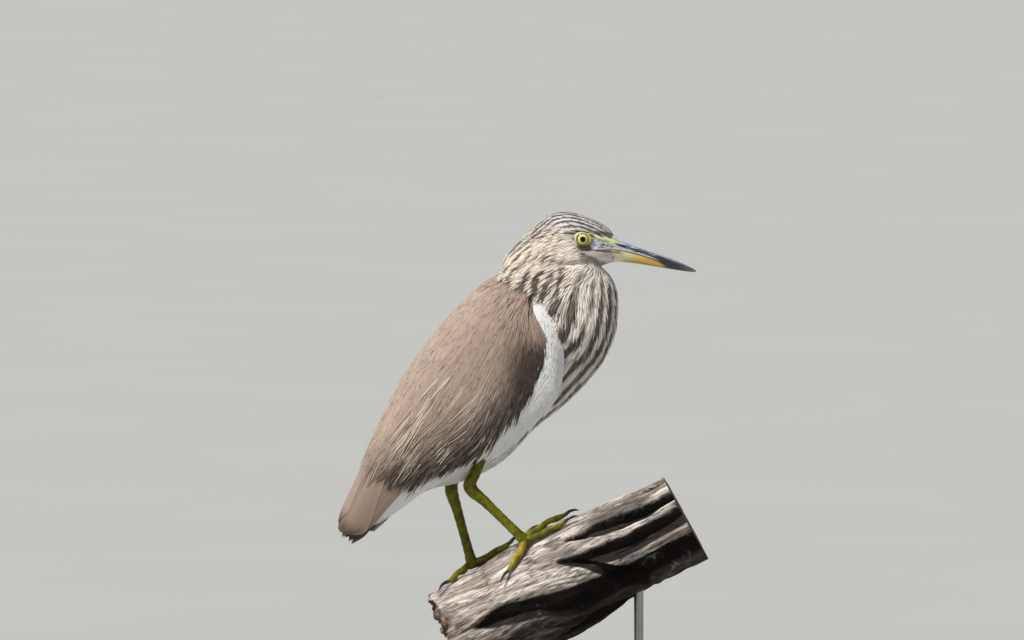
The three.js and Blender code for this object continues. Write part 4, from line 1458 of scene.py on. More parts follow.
@dataclass
class TrunkPlumage:
    """The feathers of body, neck and head."""

    trunk: Trunk
    finish: Material
    # Station, and how deep the feathers are rooted.
    depths: Table = Table(((0, 2.0), (4, 2.8), (8, 2.4), (11, 1.6), (13, 0.95), (15, 0.75), (17, 0.45)))
    # Station, then length, width and spacing of its feathers.
    sizes: Table = Table((
        (0, 15, 3.8, 2.7), (3, 17, 3.6, 2.6), (4.6, 24, 2.8, 2.1), (6, 30, 2.0, 1.62),
        (8, 26, 1.65, 1.36), (10, 19, 1.35, 1.15), (11.5, 14, 1.15, 1.0), (13, 9.5, 0.95, 0.87),
        (15, 7.0, 0.82, 0.77), (17, 4.0, 0.68, 0.66),
    ))
    # How far up the back the wing shows, for heights out from the body's axis.
    wing_front: Table = Table((
        (-60, 188), (-45.6, 190), (-33, 207), (-17, 213), (-3, 223.5), (10, 229), (20, 227), (32, 226),
        (42, 218),
    ))

    def paint(self, spots: Spots) -> Array:
        """Colour of the vanes.

        A feather takes its colour from where its outer part lies, so that streaks are made of
        whole strands.  A dark feather has a dark middle and lighter edges.  Each vane darkens
        towards its root, which is painted shade of the feathers over it.

        Args:
            spots: The vanes' corners.

        Returns:
            Their colours.
        """
        first, second, third, _ = spots.draws
        turn = spots.b[:, -3:-2] + 0.03 * (third - 0.5)
        whole, light = MARKINGS.trunk(spots.outer, spots.a[:, -3:-2], turn, first)
        rim = np.abs(spots.across)
        base = blend(whole, light, 0.22 * rim * (0.4 + third) + 0 * spots.s)
        # The 1 - s term darkens each vane towards its root: painted shade under the feathers over it.
        tone = 1 + 0.2 * (second - 0.5) + 0.05 * rim - 0.16 * (1 - spots.s)
        return MARKINGS.face(base * tone[..., None], spots.places)

    def past_wing(self, p: Array) -> tuple[Array, Array]:
        """How far a place is past the front of the wing, and its height out from the body's axis."""
        u, w = BODY.of(p)
        return u - self.wing_front.one(w), w

    def covered(self, p: Array) -> Array:
        """True where no feathers grow: on the bare face and under the folded wings."""
        past, w = self.past_wing(p)
        return bare(p) | ((w > WING_TABLE.at(BODY.of(p)[0])[..., 3] + 9) & (past < 3))

    def roots(self, low: float, high: float, seed: int) -> Roots:
        """Roots between two stations.

        Feathers of the nape are longer and looser.  Tips stand off most on the breast and nape,
        and the neck's plumes are lifted where they fall over the front of the wing, and end
        soon past it.

        Args:
            low: Lowest station.
            high: Highest station.
            seed: Seed of the draws.

        Returns:
            The roots.
        """
        def spacing(a: Array, b: Array, p: Array) -> Array:
            """Distance between roots, infinite where none grow."""
            return np.where(self.covered(p), np.inf, self.sizes.at(a)[..., 2])

        a, b = scatter(self.trunk, ((low, high), (-HALF_TURN, HALF_TURN)), spacing, seed)
        draw = np.random.default_rng(seed).random((5, len(a)))
        place, turn = self.trunk.point(a, b), np.abs(b)
        size, (past, w) = self.sizes.at(a), self.past_wing(place)
        crest = smooth(9.5, 11.5, a) * fall(12.9, 13.7, a) * fall(0.9, 1.6, turn)
        room = past / 0.95 + 2 + (3 + 9 * smooth(-4, 10, w)) * draw[4]
        room = np.where((past > 2) & (w > -38), room, np.inf)
        length = np.minimum(size[:, 0] * (0.75 + 0.5 * draw[1]) * (1 + 0.55 * crest), room)
        front = smooth(1.9, 2.6, turn) * smooth(4.5, 6, a) * fall(10, 12, a)
        loft = 0.3 + 0.8 * front + 0.35 * smooth(7, 9, a) * fall(11, 12, a) - 0.08 * smooth(13, 16, a)
        beside = smooth(8, 16, np.abs(place[:, 1]))
        over_wing = 2.4 * smooth(-2, 6, past) * fall(16, 28, past) * smooth(-34, -18, w) * beside
        lift = loft * (0.4 + 1.2 * draw[3]) + 1.5 * crest * draw[4] ** 2 + over_wing
        sway = 0.2 * noise(place, 0.08, seed) + 0.3 * (draw[0] - 0.5)
        return Roots(a, b, length, size[:, 1] * (0.8 + 0.4 * draw[2]), self.depths.one(a), lift, sway)

    def build(self) -> None:
        """Lays the belly, breast, neck and head."""
        bands = (
            ("belly", 0.05, 4.8, VaneKind.PLUME, "feathers_white"),
            ("breast", 4.8, 8.2, VaneKind.PLUME, "feathers_streaked"),
            ("neck", 8.2, 11.6, VaneKind.PLUME, "feathers_streaked"),
            ("head", 11.6, 16.95, VaneKind.FACE, "feathers_streaked"),
        )
        for seed, (name, low, high, kind, slot) in enumerate(bands, 1):
            coat = Coat(self.trunk, self.roots(low, high, seed), kind, LIE_OF_TRUNK, self.paint, seed)
            add_piece(f"plumage_{name}", coat.shape(), self.finish, slot)


# ---- wings and tail

# Height of the cape's lower edge for places up the back.
CAPE_EDGE = Table((
    (-10, -3.0), (13.5, -1.2), (46, -2.4), (66, -10.6), (104, -29.4), (120, -34), (138, -34.5), (164, -34),
    (181, -29.6), (197, -20.7), (206, -13.6), (212, -4.4), (217, 5.7), (222, 8), (240, 8),
))
# Height of the white coverts' lower edge.
COVERT_EDGE = Table((
    (60, -8), (104, -29), (120, -33), (130, -44), (145, -49), (183, -47), (206, -36), (216, -16),
))


@dataclass
class Quill:
    """One large flight feather on a sheet: a thin plate with a raised shaft and a rounded tip."""

    root: tuple[float, float]
    tip: tuple[float, float]
    width: float
    lift: tuple[float, float]  # height off the sheet at the root and the tip
    tilt: float = 0.35  # how much higher one edge lies than the middle, and the other lower
    fray: float = 0.8  # strength of the noise that pushes the rows at the tip
    rounded: float = 0.62  # share of the length where the rounding of the tip starts
    rows: int = 48
    columns: int = 13

    def build(self, sheet: Sheet, base: Shade, end: Shade, seed: int) -> Shape:
        """Builds the feather on its sheet.

        The half width rises from the root, stays, and falls at the tip as a squared circle.
        The tip's rows are pushed along the shaft by noise, which frays it.

        Args:
            sheet: Sheet that it lies on.
            base: Colour of the vane.
            end: Colour of the tip.
            seed: Seed of the fray.

        Returns:
            The feather.
        """
        s, c = lattice(np.linspace(0, 1, self.rows) ** 0.8, np.linspace(-1, 1, self.columns))
        edge = np.abs(c)
        a, b = mix(self.root[0], self.tip[0], s), mix(self.root[1], self.tip[1], s)
        rounding = np.sqrt(np.maximum(0.0, 1 - (smooth(self.rounded, 1.0, s) * 0.97) ** 2.4))
        half = self.width / 2 * mix(0.5, 1, smooth(0, 0.5, s)) * np.maximum(rounding, 0.06)
        lateral = b + c * half / np.linalg.norm(sheet.slopes(a, b)[1], axis=-1)
        spots = np.stack([c * 0.45 * self.width, s * 0, s * 0 + seed * 3.7], -1)
        a = a + self.fray * noise(spots, 1.0, seed) * smooth(0.8, 1, s) * 2.2
        place, normal = sheet.point(a, lateral), sheet.normal(a, lateral)
        crown = 0.4 * bell(c, 0.09) * (1 - 0.6 * s) - 0.45 * c**2
        height = mix(*self.lift, s) + self.tilt * c + crown
        outer = place + normal * height[..., None]
        inner = place + normal * (height - mix(0.8, 0.22, edge))[..., None]
        grain = noise(np.stack([c * 14, s * 3, s * 0 + seed], -1), 1.0, seed)
        tone = 1 + 0.14 * smooth(0.8, 1.0, edge) + 0.08 * grain
        tint = blend(base, end, 0.85 * smooth(0.86, 0.99, s + 0.04 * edge * noise(spots, 1.0, seed + 2)))
        shape = shell(outer, inner, blend(tint * tone[..., None], tint * 0.6, 0.45 * bell(c, 0.07)))
        root = sheet.unwrap(*np.array(self.root))
        shape.bake_uv = root * ROOT_SHARE + PATCH_SHARE * shape.uv
        shape.uv = shape.uv * (self.width, abs(self.root[0] - self.tip[0])) * 0.01 + seed * 0.37
        return shape


@dataclass
class Wing:
    """One folded wing: its padding, flight feathers, white coverts and the brown cape."""

    name: str
    side: int
    finish: Material
    # Root and tip of the brown quills up the back and round the wing, width, fray, and share of dark.
    tertials: tuple[tuple, ...] = (
        ((70, 0.86), (-3.5, 0.73), 13, 1.3, 0.9), ((70, 0.76), (-4, 0.56), 16, 1.2, 0.8),
        ((98, 0.77), (3, 0.66), 20, 0.3, 0.12), ((98, 0.29), (-2.5, 0.4), 30, 0.22, 0.05),
        ((96, 0.14), (3, 0.18), 13, 0.25, 0.0),
    )

    def __post_init__(self) -> None:
        """Makes the wing's sheet."""
        self.sheet = WingSheet(self.side)

    def padding(self) -> Shape:
        """The arm under the feathers, a closed plate between two depths under the sheet.

        Returns:
            The plate, painted brown under the cape and white under the coverts.
        """
        share, v = lattice(np.linspace(0, 1, 110), np.linspace(0, 1, 44))
        u = mix(mix(16, 60, v), WING_FRONT.one(v) + 1, share)
        v = v * (1 - 0.07 * smooth(70, 92, u) * fall(118, 130, u))
        place, normal = self.sheet.point(u, v), self.sheet.normal(u, np.clip(v, 0.015, 0.99))
        edge = np.minimum(smooth(0, 0.08, 1 - share), smooth(0, 0.1, 1 - v))
        outer = place - normal * (2.0 + 2.0 * (1 - edge))[..., None]
        inner = place - normal * (4.6 + 1.4 * smooth(40, 90, u) + 3.0 * smooth(130, 190, u))[..., None]
        for face, apart in ((inner, 0.15), (outer, 0.1)):
            face[..., 1] = self.side * np.maximum(self.side * face[..., 1], apart)
        brown = smooth(-1.5, 1.5, BODY.of(place)[1] - CAPE_EDGE.one(u))
        return shell(outer, inner, blend(MARKINGS.white, colour(MARKINGS.mantle) * 0.6, brown))

    def flight(self) -> Shape:
        """Primaries and secondaries, white, under brown tertials.

        Returns:
            All large feathers as one shape.
        """
        brown, dark = "937f70", "43372e"
        shapes = []
        # Seed, number, root and tip of the first and last quill, width, least lift and its rise.
        rows = (
            (20, 5, (108, 0.97, 20, 0.93), (102, 0.85, 14, 0.81), 12, -2.8, 0.6),
            (30, 4, (104, 0.9, 16, 0.86), (100, 0.78, 12, 0.76), 13, -1.8, 0.5),
        )
        for seed, count, first, last, width, low, rise in rows:
            for i, ends in enumerate(np.linspace(first, last, count)):
                quill = Quill(ends[:2], ends[2:], width, (low + 0.2 * i, low + 0.2 * i + rise))
                shapes.append(quill.build(self.sheet, MARKINGS.white, "cfccc6", seed + i))
        for i, (root, tip, width, fray, shade) in enumerate(self.tertials):
            lift = (-1.5 + 0.35 * i, -1.1 + 0.4 * i)
            quill = Quill(root, tip, width, lift, fray=fray, rounded=0.8, columns=25)
            base = blend(brown, dark, shade) * (0.92 + 0.04 * i)
            shapes.append(quill.build(self.sheet, base, dark, 40 + i))
        return joined(shapes)

    @staticmethod
    def over_cape(p: Array, u: Array) -> Array:
        """Height of places over the cape's lower edge."""
        return BODY.of(p)[1] - CAPE_EDGE.one(u)

    def scattered(self, spans: tuple, spacing: Callable, seed: int) -> tuple[Array, Array, Array, Array]:
        """Scattered roots, their draws, and their places."""
        a, b = scatter(self.sheet, spans, spacing, seed)
        return a, b, np.random.default_rng(seed).random((6, len(a))), self.sheet.point(a, b)

    def coverts(self) -> Shape:
        """The white coverts, silky and close, which show along the front and lower edge.

        Returns:
            The coverts as one shape.
        """
        def spacing(u: Array, v: Array, p: Array) -> Array:
            """Spacing where the cape leaves the coverts free.

            Args:
                u: Distances up the back.
                v: Shares of the way to the lower edge.
                p: Places.

            Returns:
                Distances between roots, infinite where none grow.
            """
            w = BODY.of(p)[1]
            free = (w < np.minimum(CAPE_EDGE.one(u) + 3, 7)) & (w > COVERT_EDGE.one(u))
            free &= u < WING_FRONT.one(v) + 2
            return np.where(free, Table(((60, 2.4), (150, 2.0), (225, 1.6))).one(u), np.inf)

        def paint(spots: Spots) -> Array:
            """White, greyer towards the root, which is painted shade of the coverts over it."""
            # The 1 - s term greys each covert towards its root: painted shade.
            tone = 0.97 + 0.05 * spots.draws[1] - 0.06 * (1 - spots.s) + 0.02 * np.abs(spots.across)
            return colour(MARKINGS.white) * tone[..., None]

        u, v, draw, place = self.scattered(((84, 232), (0.25, 1.0)), spacing, 11)
        length = Table(((84, 22), (150, 22), (200, 18), (230, 13))).one(u) * (0.85 + 0.3 * draw[0])
        width = Table(((84, 3.4), (150, 2.9), (230, 2.2))).one(u) * (0.9 + 0.3 * draw[1])
        sway = self.side * 0.1 * noise(place, 0.05, 4) + 0.12 * (draw[3] - 0.5)
        lift = 0.02 + 0.12 * draw[2] - 0.9 * smooth(0.93, 1, v)
        roots = Roots(u, v, length, width, 0 * u + 1.4, lift, sway)
        return Coat(self.sheet, roots, VaneKind.SILK, LIE_OF_COVERTS, paint, 11).shape()

    def cape_paint(self, spots: Spots) -> Array:
        """Colour of the cape.

        Mauve brown, darker towards the lower and front edge, partly the plumes' own darker brown
        and partly painted shade, and darker towards each root as painted shade, with a draw of its
        own for each plume.  Near the ragged edge some plumes are cream and have a pale shaft.

        Args:
            spots: The plumes' corners.

        Returns:
            Their colours.
        """
        here, s = spots.outer, spots.s
        u, w = BODY.of(here)
        above = w - CAPE_EDGE.one(u)
        _, second, third, fourth = spots.draws
        calm = smooth(12, 40, above) * smooth(60, 120, u)
        edge = above + 5 * noise(here, 0.06, 6) - 4 * fall(80, 130, u) - 5 * smooth(150, 180, u)
        patch = fall(70, 125, u) * smooth(0.0, 0.7, noise(here, 0.05, 16) + 0.3)
        base = layered(
            MARKINGS.mantle,
            # Dark along the lower and front edge: partly the plumes' own darker brown, partly painted shade.
            (MARKINGS.mantle_dark, 0.95 * fall(9.0, 36.0, edge + 30 * smooth(184, 207, u))),
            (MARKINGS.mantle_dark, 0.45 * patch * fall(26, 40, w)),
            (MARKINGS.mantle_pale, 0.12 * smooth(24.0, 46.0, w)),
        )
        grain = noise(here * (1, 1, 0.3), 0.3, 8)
        # The 1 - s term darkens each plume towards its root: painted shade under the plumes over it.
        tone = 1 + mix(0.3, 0.09, calm) * (second - 0.5) + mix(0.14, 0.05, calm) * grain - 0.1 * (1 - s)
        zone = fall(22, 44, above) * smooth(44, 80, u) * fall(135, 172, u)
        strands = smooth(0.05, 0.45, noise(here * (1.0, 1.0, 0.35), 0.11, 12))
        cream = (third < 0.26 * zone * strands) * zone * smooth(0.1, 0.4, s)
        shaft = mix(0.4, 0.12, calm) * (1 - np.abs(spots.across)) * (fourth > 0.6) * smooth(0.2, 0.6, s)
        shaft = shaft * smooth(10, 60, above + 40 * zone)
        return layered(base * tone[..., None], (MARKINGS.mantle_pale, cream), (MARKINGS.mantle_pale, shaft))

    def cape(self, kind: VaneKind, seed: int, base: float) -> Shape:
        """One layer of the cape: broad plumes, or the long loose hair-like ones over them.

        Args:
            kind: Kind of its plumes.
            seed: Seed of its draws.
            base: Least lift of a tip.

        Returns:
            The layer.
        """
        def above(u: Array, p: Array) -> Array:
            """Height over the cape's lower edge, less where plumes hang down to it."""
            return self.over_cape(p, u) - 5 * fall(150, 200, u) - 5 * smooth(198, 211, u)

        def spacing(u: Array, v: Array, p: Array) -> Array:
            """Spacing of the plumes."""
            fine = Table(((60, 1.7), (120, 1.55), (235, 1.25))).one(u)
            return np.where(above(u, p) > (0.5 if hair else 1.5), fine if hair else 4.2, np.inf)

        hair = kind is VaneKind.HAIR
        u, v, draw, place = self.scattered(((60, 236), (0.0, 0.97)), spacing, seed)
        rear = Table(((0, 72), (0.3, 68), (0.7, 70), (1, 66))).one(v) + 9 * draw[5]
        height = above(u, place)
        long = Table(((60, 30), (100, 33), (160, 30), (200, 24), (231, 15))).one(u)
        long = long * mix(0.75, 1.0, smooth(4, 22, height)) * (0.65 + 0.6 * draw[0])
        width = (0.65 + 0.6 * draw[1]) if hair else (4.6 + 1.4 * draw[1])
        sway = 0.2 * noise(place, 0.06, 21) + (0.3 if hair else 0.14) * (draw[3] - 0.5)
        ragged = fall(4, 22, height) * fall(150, 190, u) + 0.5 * fall(80, 110, u)
        lift = base + (0.12 + 0.5 * hair * fall(14, 40, height)) * draw[2] + 0.8 * ragged * draw[4] * hair
        roots = Roots(u, v, long, width, 0 * u + (0.9 if hair else 1.4), lift, self.side * sway)
        roots = roots.keep((u < WING_FRONT.one(v) + 3) & (u > rear))
        return Coat(self.sheet, roots, kind, LIE_OF_CAPE, self.cape_paint, seed).shape()

    def streamers(self) -> Shape:
        """Long thin plumes, some of them pale, which lie over the cape in loose strands.

        Returns:
            The plumes as one shape.
        """
        def spacing(u: Array, v: Array, p: Array) -> Array:
            """Spacing in the strands of the lower half of the cape.

            Args:
                u: Distances up the back.
                v: Shares of the way to the lower edge.
                p: Places.

            Returns:
                Distances between roots, infinite where none grow.
            """
            above = self.over_cape(p, u)
            strand = noise(p * (1.0, 1.0, 0.5), 0.1, 33) > 0.0
            return np.where((above > 12 + 14 * smooth(130, 170, u)) & (above < 62) & strand, 3.6, np.inf)

        def paint(spots: Spots) -> Array:
            """Cream or the cape's brown, paler along the shaft.

            Args:
                spots: The plumes' corners.

            Returns:
                Their colours.
            """
            group = noise(spots.places[:, :1, 1:2] * (1.0, 1.0, 0.4), 0.085, 35)
            pale = (spots.draws[1] < 0.2 + 0.9 * group) * smooth(0.12, 0.35, spots.s)
            share = mix(0.15, 0.9, pale) * (1 - 0.25 * np.abs(spots.across))
            return blend(self.cape_paint(spots), MARKINGS.mantle_pale, share)

        u, v, draw, _ = self.scattered(((92, 184), (0.1, 0.95)), spacing, 23)
        sway = self.side * (0.1 + 0.35 * (draw[3] - 0.5))
        roots = Roots(u, v, 36 + 30 * draw[0], 0.85 + 0.45 * draw[1], 0 * u + 0.7, 0.5 + 0.5 * draw[2], sway)
        return Coat(self.sheet, roots, VaneKind.STREAMER, LIE_OF_CAPE, paint, 23).shape()

    def build(self) -> None:
        """Builds the wing's pieces."""
        pieces = (
            ("padding", self.padding(), "feathers_brown", [f"wing_{self.name}"]),
            ("quills", self.flight(), "feathers_brown", []),
            ("coverts", self.coverts(), "feathers_white", []),
            ("scapulars", self.cape(VaneKind.PLUME, 13, 0.1), "feathers_brown", []),
            ("cape", joined([self.cape(VaneKind.HAIR, 17, 0.18), self.streamers()]), "feathers_brown", []),
        )
        for name, shape, slot, nodes in pieces:
            add_piece(f"wing_{self.name}_{name}", shape, self.finish, slot, nodes)


@dataclass
class TailSheet(Sheet):
    """Surface of the tail fan: u up the back, y to the left, gently arched."""

    nudge = (0.5, 0.1)
    span = ((0.0, 70.0), (-20.0, 20.0))

    def point(self, a: Array, b: Array) -> Array:
        """Height falls from the root to the tip and towards both sides."""
        return BODY.point(a, b, mix(-8, -1.5, (60 - a) / 49) - 1.2 * (b / 10.5) ** 2)


@dataclass
class Tail:
    """Twelve white tail feathers, the middle pair uppermost."""

    finish: Material
    pairs: int = 6
    spread: float = 10.5  # half width of the fan

    def build(self) -> None:
        """Fans the feathers out from the tail's root."""
        sheet, shapes = TailSheet(), []
        for pair, side in itertools.product(range(self.pairs), (-1, 1)):
            s = (pair + 0.5) / self.pairs
            root, tip = (62, side * s * 4), (11 + 3 * s * s, side * s * self.spread)
            lift = (-0.3 * pair, -0.36 * pair)
            quill = Quill(root, tip, 8.4, lift, tilt=-0.2 * side, fray=0.35, rows=32, columns=9)
            shapes.append(quill.build(sheet, MARKINGS.white, "d2cfc8", 60 + pair * 2 + side))
        add_piece("tail_feathers", joined(shapes), self.finish, "feathers_white", ["tail"])


# ---- eyes and bill


@dataclass
class Eye:
    """One eyeball and the bare ring of lids round it."""

    name: str
    side: int
    radius: float = 6.8
    apart: float = 10.7  # from the bird's middle plane to the ball's centre
    opening: float = 3.95  # radius of the lids' inner rim
    ring: float = 5.75  # radius of their outer rim

    def placed(self, r: Array, turn: Array, out: Array) -> Array:
        """Places at a distance and turn round the line through both eyes, and out along it."""
        return HEAD.point(r * np.cos(turn), self.side * out, r * np.sin(turn))

    def ball(self) -> Shape:
        """The eyeball: a sphere whose front bulges a little more, as the cornea does.

        Returns:
            The closed ball, its pole on the line through both eyes.
        """
        polar, turn = lattice(np.linspace(0.02, HALF_TURN - 0.02, 44), turns(64))
        r = self.radius * (1 + 0.03 * bell(polar, 0.5))
        return tube(self.placed(r * np.sin(polar), turn, self.apart + r * np.cos(polar)))

    def lids(self) -> Shape:
        """The lids: a raised ring from the iris's rim to the bare skin, drawn out in front.

        Its section rises steeply from the eyeball, is widest in the middle and sinks into the
        skin, with fine folds round it.  It is pale behind, yellow in front and olive below.

        Returns:
            The ring, closed on itself.
        """
        def near(angle: float, spread: float) -> Array:
            """Share of a stretch of the ring round an angle."""
            return bell(np.angle(np.exp(1j * (turn - angle))), spread)

        rows, columns = 128, 32
        turn, s = lattice(turns(rows), turns(columns))
        inner = self.opening + 0.06 * np.cos(2 * turn)
        outer = self.ring + 0.5 * np.cos(2 * turn) + 0.45 * near(0.35, 0.55) + 0.2 * near(3.0, 0.6)
        r = (inner + outer) / 2 + (outer - inner) / 2 * np.cos(s)
        share = (r - inner) / (outer - inner)
        seat = 15.95 - 0.2 * share - 0.35 * share**2
        rise = 0.72 * np.sin(s) * (1 + 0.15 * np.sin(share * 9 + turn))
        fold = 0.07 * noise(np.stack([np.cos(turn) * 9, np.sin(turn) * 9, r * 2.0], -1), 1.0, 4)
        points = self.placed(r, turn, seat + rise + fold)
        tint = layered(
            "9a954c",
            ("5f5f22", near(-1.35, 0.9)),
            ("ddcdb4", 0.92 * near(2.6, 1.2) * smooth(0.2, 0.45, share)),
            ("c7c05c", 0.9 * near(0.5, 0.6)),
            ("3a3216", fall(0.05, 0.22, share)),
        )
        quads = grid_quads(rows + 1, columns, True) % (rows * columns)
        uv = np.stack([turn / FULL_TURN, s / FULL_TURN], -1).reshape(-1, 2)
        return Shape(points.reshape(-1, 3), quads, np.zeros((0, 3), int), tint.reshape(-1, 3), uv).outward()

    def build(self, gloss: Material, skin: Material) -> None:
        """Adds the ball and the lids."""
        add_piece(f"eyeball_{self.name}", self.ball(), gloss, "eye", [f"eye_{self.name}"])
        add_piece(f"eyelids_{self.name}", self.lids(), skin, "bill_yellow")


@dataclass
class Bill:
    """The dagger bill: upper and lower jaw, parted by a thin line."""

    # Distance forward, then height of top and bottom, and half width.
    table: Table = Table((
        (14, 9.4, -12.4, 9.6), (19, 8.5, -12.0, 9.0), (24, 7.6, -11.6, 7.8), (34, 5.4, -9.8, 5.8),
        (46, 3.8, -8.3, 4.4), (62, 1.7, -7, 3.1), (76, -0.6, -5.8, 1.9), (84, -2.3, -4.7, 0.8),
        (86.2, -3, -3.9, 0.35),
    ))
    # Distance forward and height of the line between the jaws.
    seam: Table = Table((
        (14, -3.0), (26, -2.3), (33, -1.8), (42, -1.8), (51, -2.2), (57.5, -3.2), (62, -4.2), (67, -4.9),
        (73, -5.05), (80, -4.4), (86.2, -3.5),
    ))
    nostril: tuple[float, float] = (28.3, 1.5)  # distance forward and height
    rings: int = 200
    around: int = 96

    def jaw(self, upper: bool) -> tuple[Array, Array, Array, Array]:
        """Rings of one jaw.

        Three quarters of a ring run over the outer face as a half oval from edge to edge of the
        seam, the rest runs back along the seam, slightly hollow.

        Args:
            upper: True for the upper jaw.

        Returns:
            Points, distance forward, distance from the seam in millimetres and as a share.
        """
        f = np.linspace(14, 86.2, self.rings)
        top, bottom, half = self.table.at(f).T
        seam, quarter = self.seam.one(f), HALF_TURN / 2
        outer = int(self.around * 0.75)
        back = np.linspace(quarter, -quarter, self.around - outer + 2)[1:-1]
        f, turn = lattice(f, np.concatenate([np.linspace(-quarter, quarter, outer), back]))
        reach = np.abs((top if upper else bottom) - seam)[:, None]
        side = half[:, None] * power(np.sin(turn), 0.85)
        lip = np.minimum(0.13, 0.2 * reach)
        full = mix(0.84, 1.12, smooth(20, 38, f)) if upper else 1.12
        oval = (reach - lip) * np.abs(np.cos(turn)) ** full
        rise = lip + np.where(np.arange(self.around) < outer, oval, 0.25 * lip * np.cos(turn))
        return HEAD.point(f, side, seam[:, None] + (rise if upper else -rise)), f, rise, rise / reach

    def upper(self) -> Shape:
        """Upper jaw with its nostrils in a long groove.

        Returns:
            The jaw: lilac at the root, slate with dark flanks at the tip, a pale edge, and a painted
            highlight along the ridge.
        """
        points, f, rise, share = self.jaw(True)
        start, height = self.nostril
        off = HEAD.of(points)[1] - height + 0.05 * (f - start)
        slit = np.exp(-(((f - start) / 4.2) ** 4)) * bell(off, 0.5)
        groove = bell(off, 0.8) * smooth(18, 26, f) * fall(44, 62, f)
        points[..., 1] -= np.sign(points[..., 1]) * (1.2 * slit + 0.4 * groove)
        waver = noise(points * (0.35, 1, 1), 0.5, 3)
        fleck = noise(points * (0.32, 1, 1.3), 0.95, 7)
        middle = bell(share - 0.44, 0.24) + 0.55 * fleck
        base = layered(
            "a6a7b2",
            ("68717f", smooth(27, 46, f + 6 * waver)),
            ("c4c8d6", 0.75 * smooth(0.1, 0.45, -fleck) * fall(50, 62, f)),
            ("343646", 0.92 * smooth(0.4, 0.8, middle) * smooth(27, 38, f + 5 * waver)),
            ("2d2c31", 0.95 * smooth(48, 62, f + 4 * waver) * fall(0.66, 0.92, share)),
            # Pale blue along the ridge: painted highlight.
            ("c6d3dc", 0.7 * smooth(0.74, 0.92, share + 0.06 * fleck) * fall(50, 78, f)),
            ("5a5c60", 0.7 * smooth(70, 82, f)),
            ("dbd0ca", 0.75 * fall(0.9, 1.3, rise) * smooth(18, 26, f) * fall(50, 60, f)),
            ("2a2018", fall(0.28, 0.5, rise)),
            ("3c3d48", 0.75 * groove * fall(36, 52, f)),
            ("060505", 1.3 * slit),
        )
        return tube(points, blend(MARKINGS.face(base, points), base, smooth(22, 30, f)))

    def lower(self) -> Shape:
        """Lower jaw.

        Returns:
            The jaw: greenish white at the root, yellow, orange under the seam, and horn at the tip.
        """
        points, f, rise, share = self.jaw(False)
        base = layered(
            "ece6bc",
            ("dfc256", smooth(31, 43, f + 3 * noise(points * (0.4, 1, 1), 0.3, 5))),
            ("cd8c2e", 0.75 * smooth(44, 52, f) * fall(0.25, 0.55, share)),
            ("9c9a48", 0.65 * smooth(0.6, 0.9, share) * smooth(30, 36, f)),
            ("8d8e6c", smooth(58, 64, f)),
            ("3f3d3a", smooth(60, 68, f) * fall(0.55, 0.8, share)),
            ("2a2018", fall(0.2, 0.4, rise)),
        )
        return tube(points, blend(MARKINGS.face(base, points), base, smooth(27, 34, f)))

    def build(self) -> None:
        """Adds both jaws."""
        horn = HornFinish("bill_horn").build()
        add_piece("bill_upper_jaw", self.upper(), horn, "bill_slate", ["bill_upper"])
        add_piece("bill_lower_jaw", self.lower(), horn, "bill_yellow", ["bill_lower"])


# ---- branch

# Mean radius of the branch, which turns an angle round it into millimetres.
GIRTH = 38

@dataclass(frozen=True)
class Valley:
    """A hollow along the branch: turns in degrees at places along the axis, width and depth."""

    line: tuple[tuple[float, float], ...]
    width: float
    depth: float

    def cut(self, s: Array, turn: Array, ragged: Array) -> Array:
        """Depth of the hollow.

        It falls steeply over its upper lip and climbs slowly to the lower one.  It widens and
        deepens from its first end, and a ragged offset breaks both lips.

        Args:
            s: Places along the axis.
            turn: Turns.
            ragged: Offset of the lips in millimetres.

        Returns:
            Depths.
        """
        start, stop = self.line[0][0], self.line[-1][0]
        grown = mix(0.45, 1, smooth(start, start + 45, s))
        away = np.angle(np.exp(1j * (turn - np.radians(Table(self.line).one(s))))) * GIRTH + ragged
        away = away * np.sign(self.line[0][1]) / (self.width * grown)
        lips = smooth(-1.25, -0.75, away) * fall(-0.35, 1.6, away)
        ends = smooth(start - 3, start + 14, s) * fall(stop - 10, stop + 6, s)
        return self.depth * grown * ends * lips


VALLEYS = (
    Valley(((14, -33), (31, -43), (48, -47), (77, -52), (120, -55)), 4.6, 8.5),
    Valley(((2, -62), (34, -74), (52, -79), (68, -83), (120, -77)), 7.5, 9.5),
    Valley(((-70, -84), (-34, -92), (-4, -108), (30, -121), (64, -126), (120, -130)), 10.5, 8.0),
    Valley(((-96, -128), (-60, -132), (-20, -150), (20, -158), (60, -170)), 6.5, 7.0),
    Valley(((16, -62), (34, -96), (58, -142)), 13.0, 12.0),
    Valley(((70, -18), (88, -24), (120, -20)), 3.0, 4.0),
    Valley(((-78, 42), (-30, 60), (10, 55), (40, 68)), 4.6, 7.5),
    Valley(((-20, 102), (20, 92), (60, 104), (120, 98)), 7.0, 9.0),
    Valley(((24, 32), (50, 40), (80, 32), (120, 38)), 3.6, 5.5),
    Valley(((-90, 140), (-40, 128), (0, 148), (40, 160)), 6.0, 7.0),
)


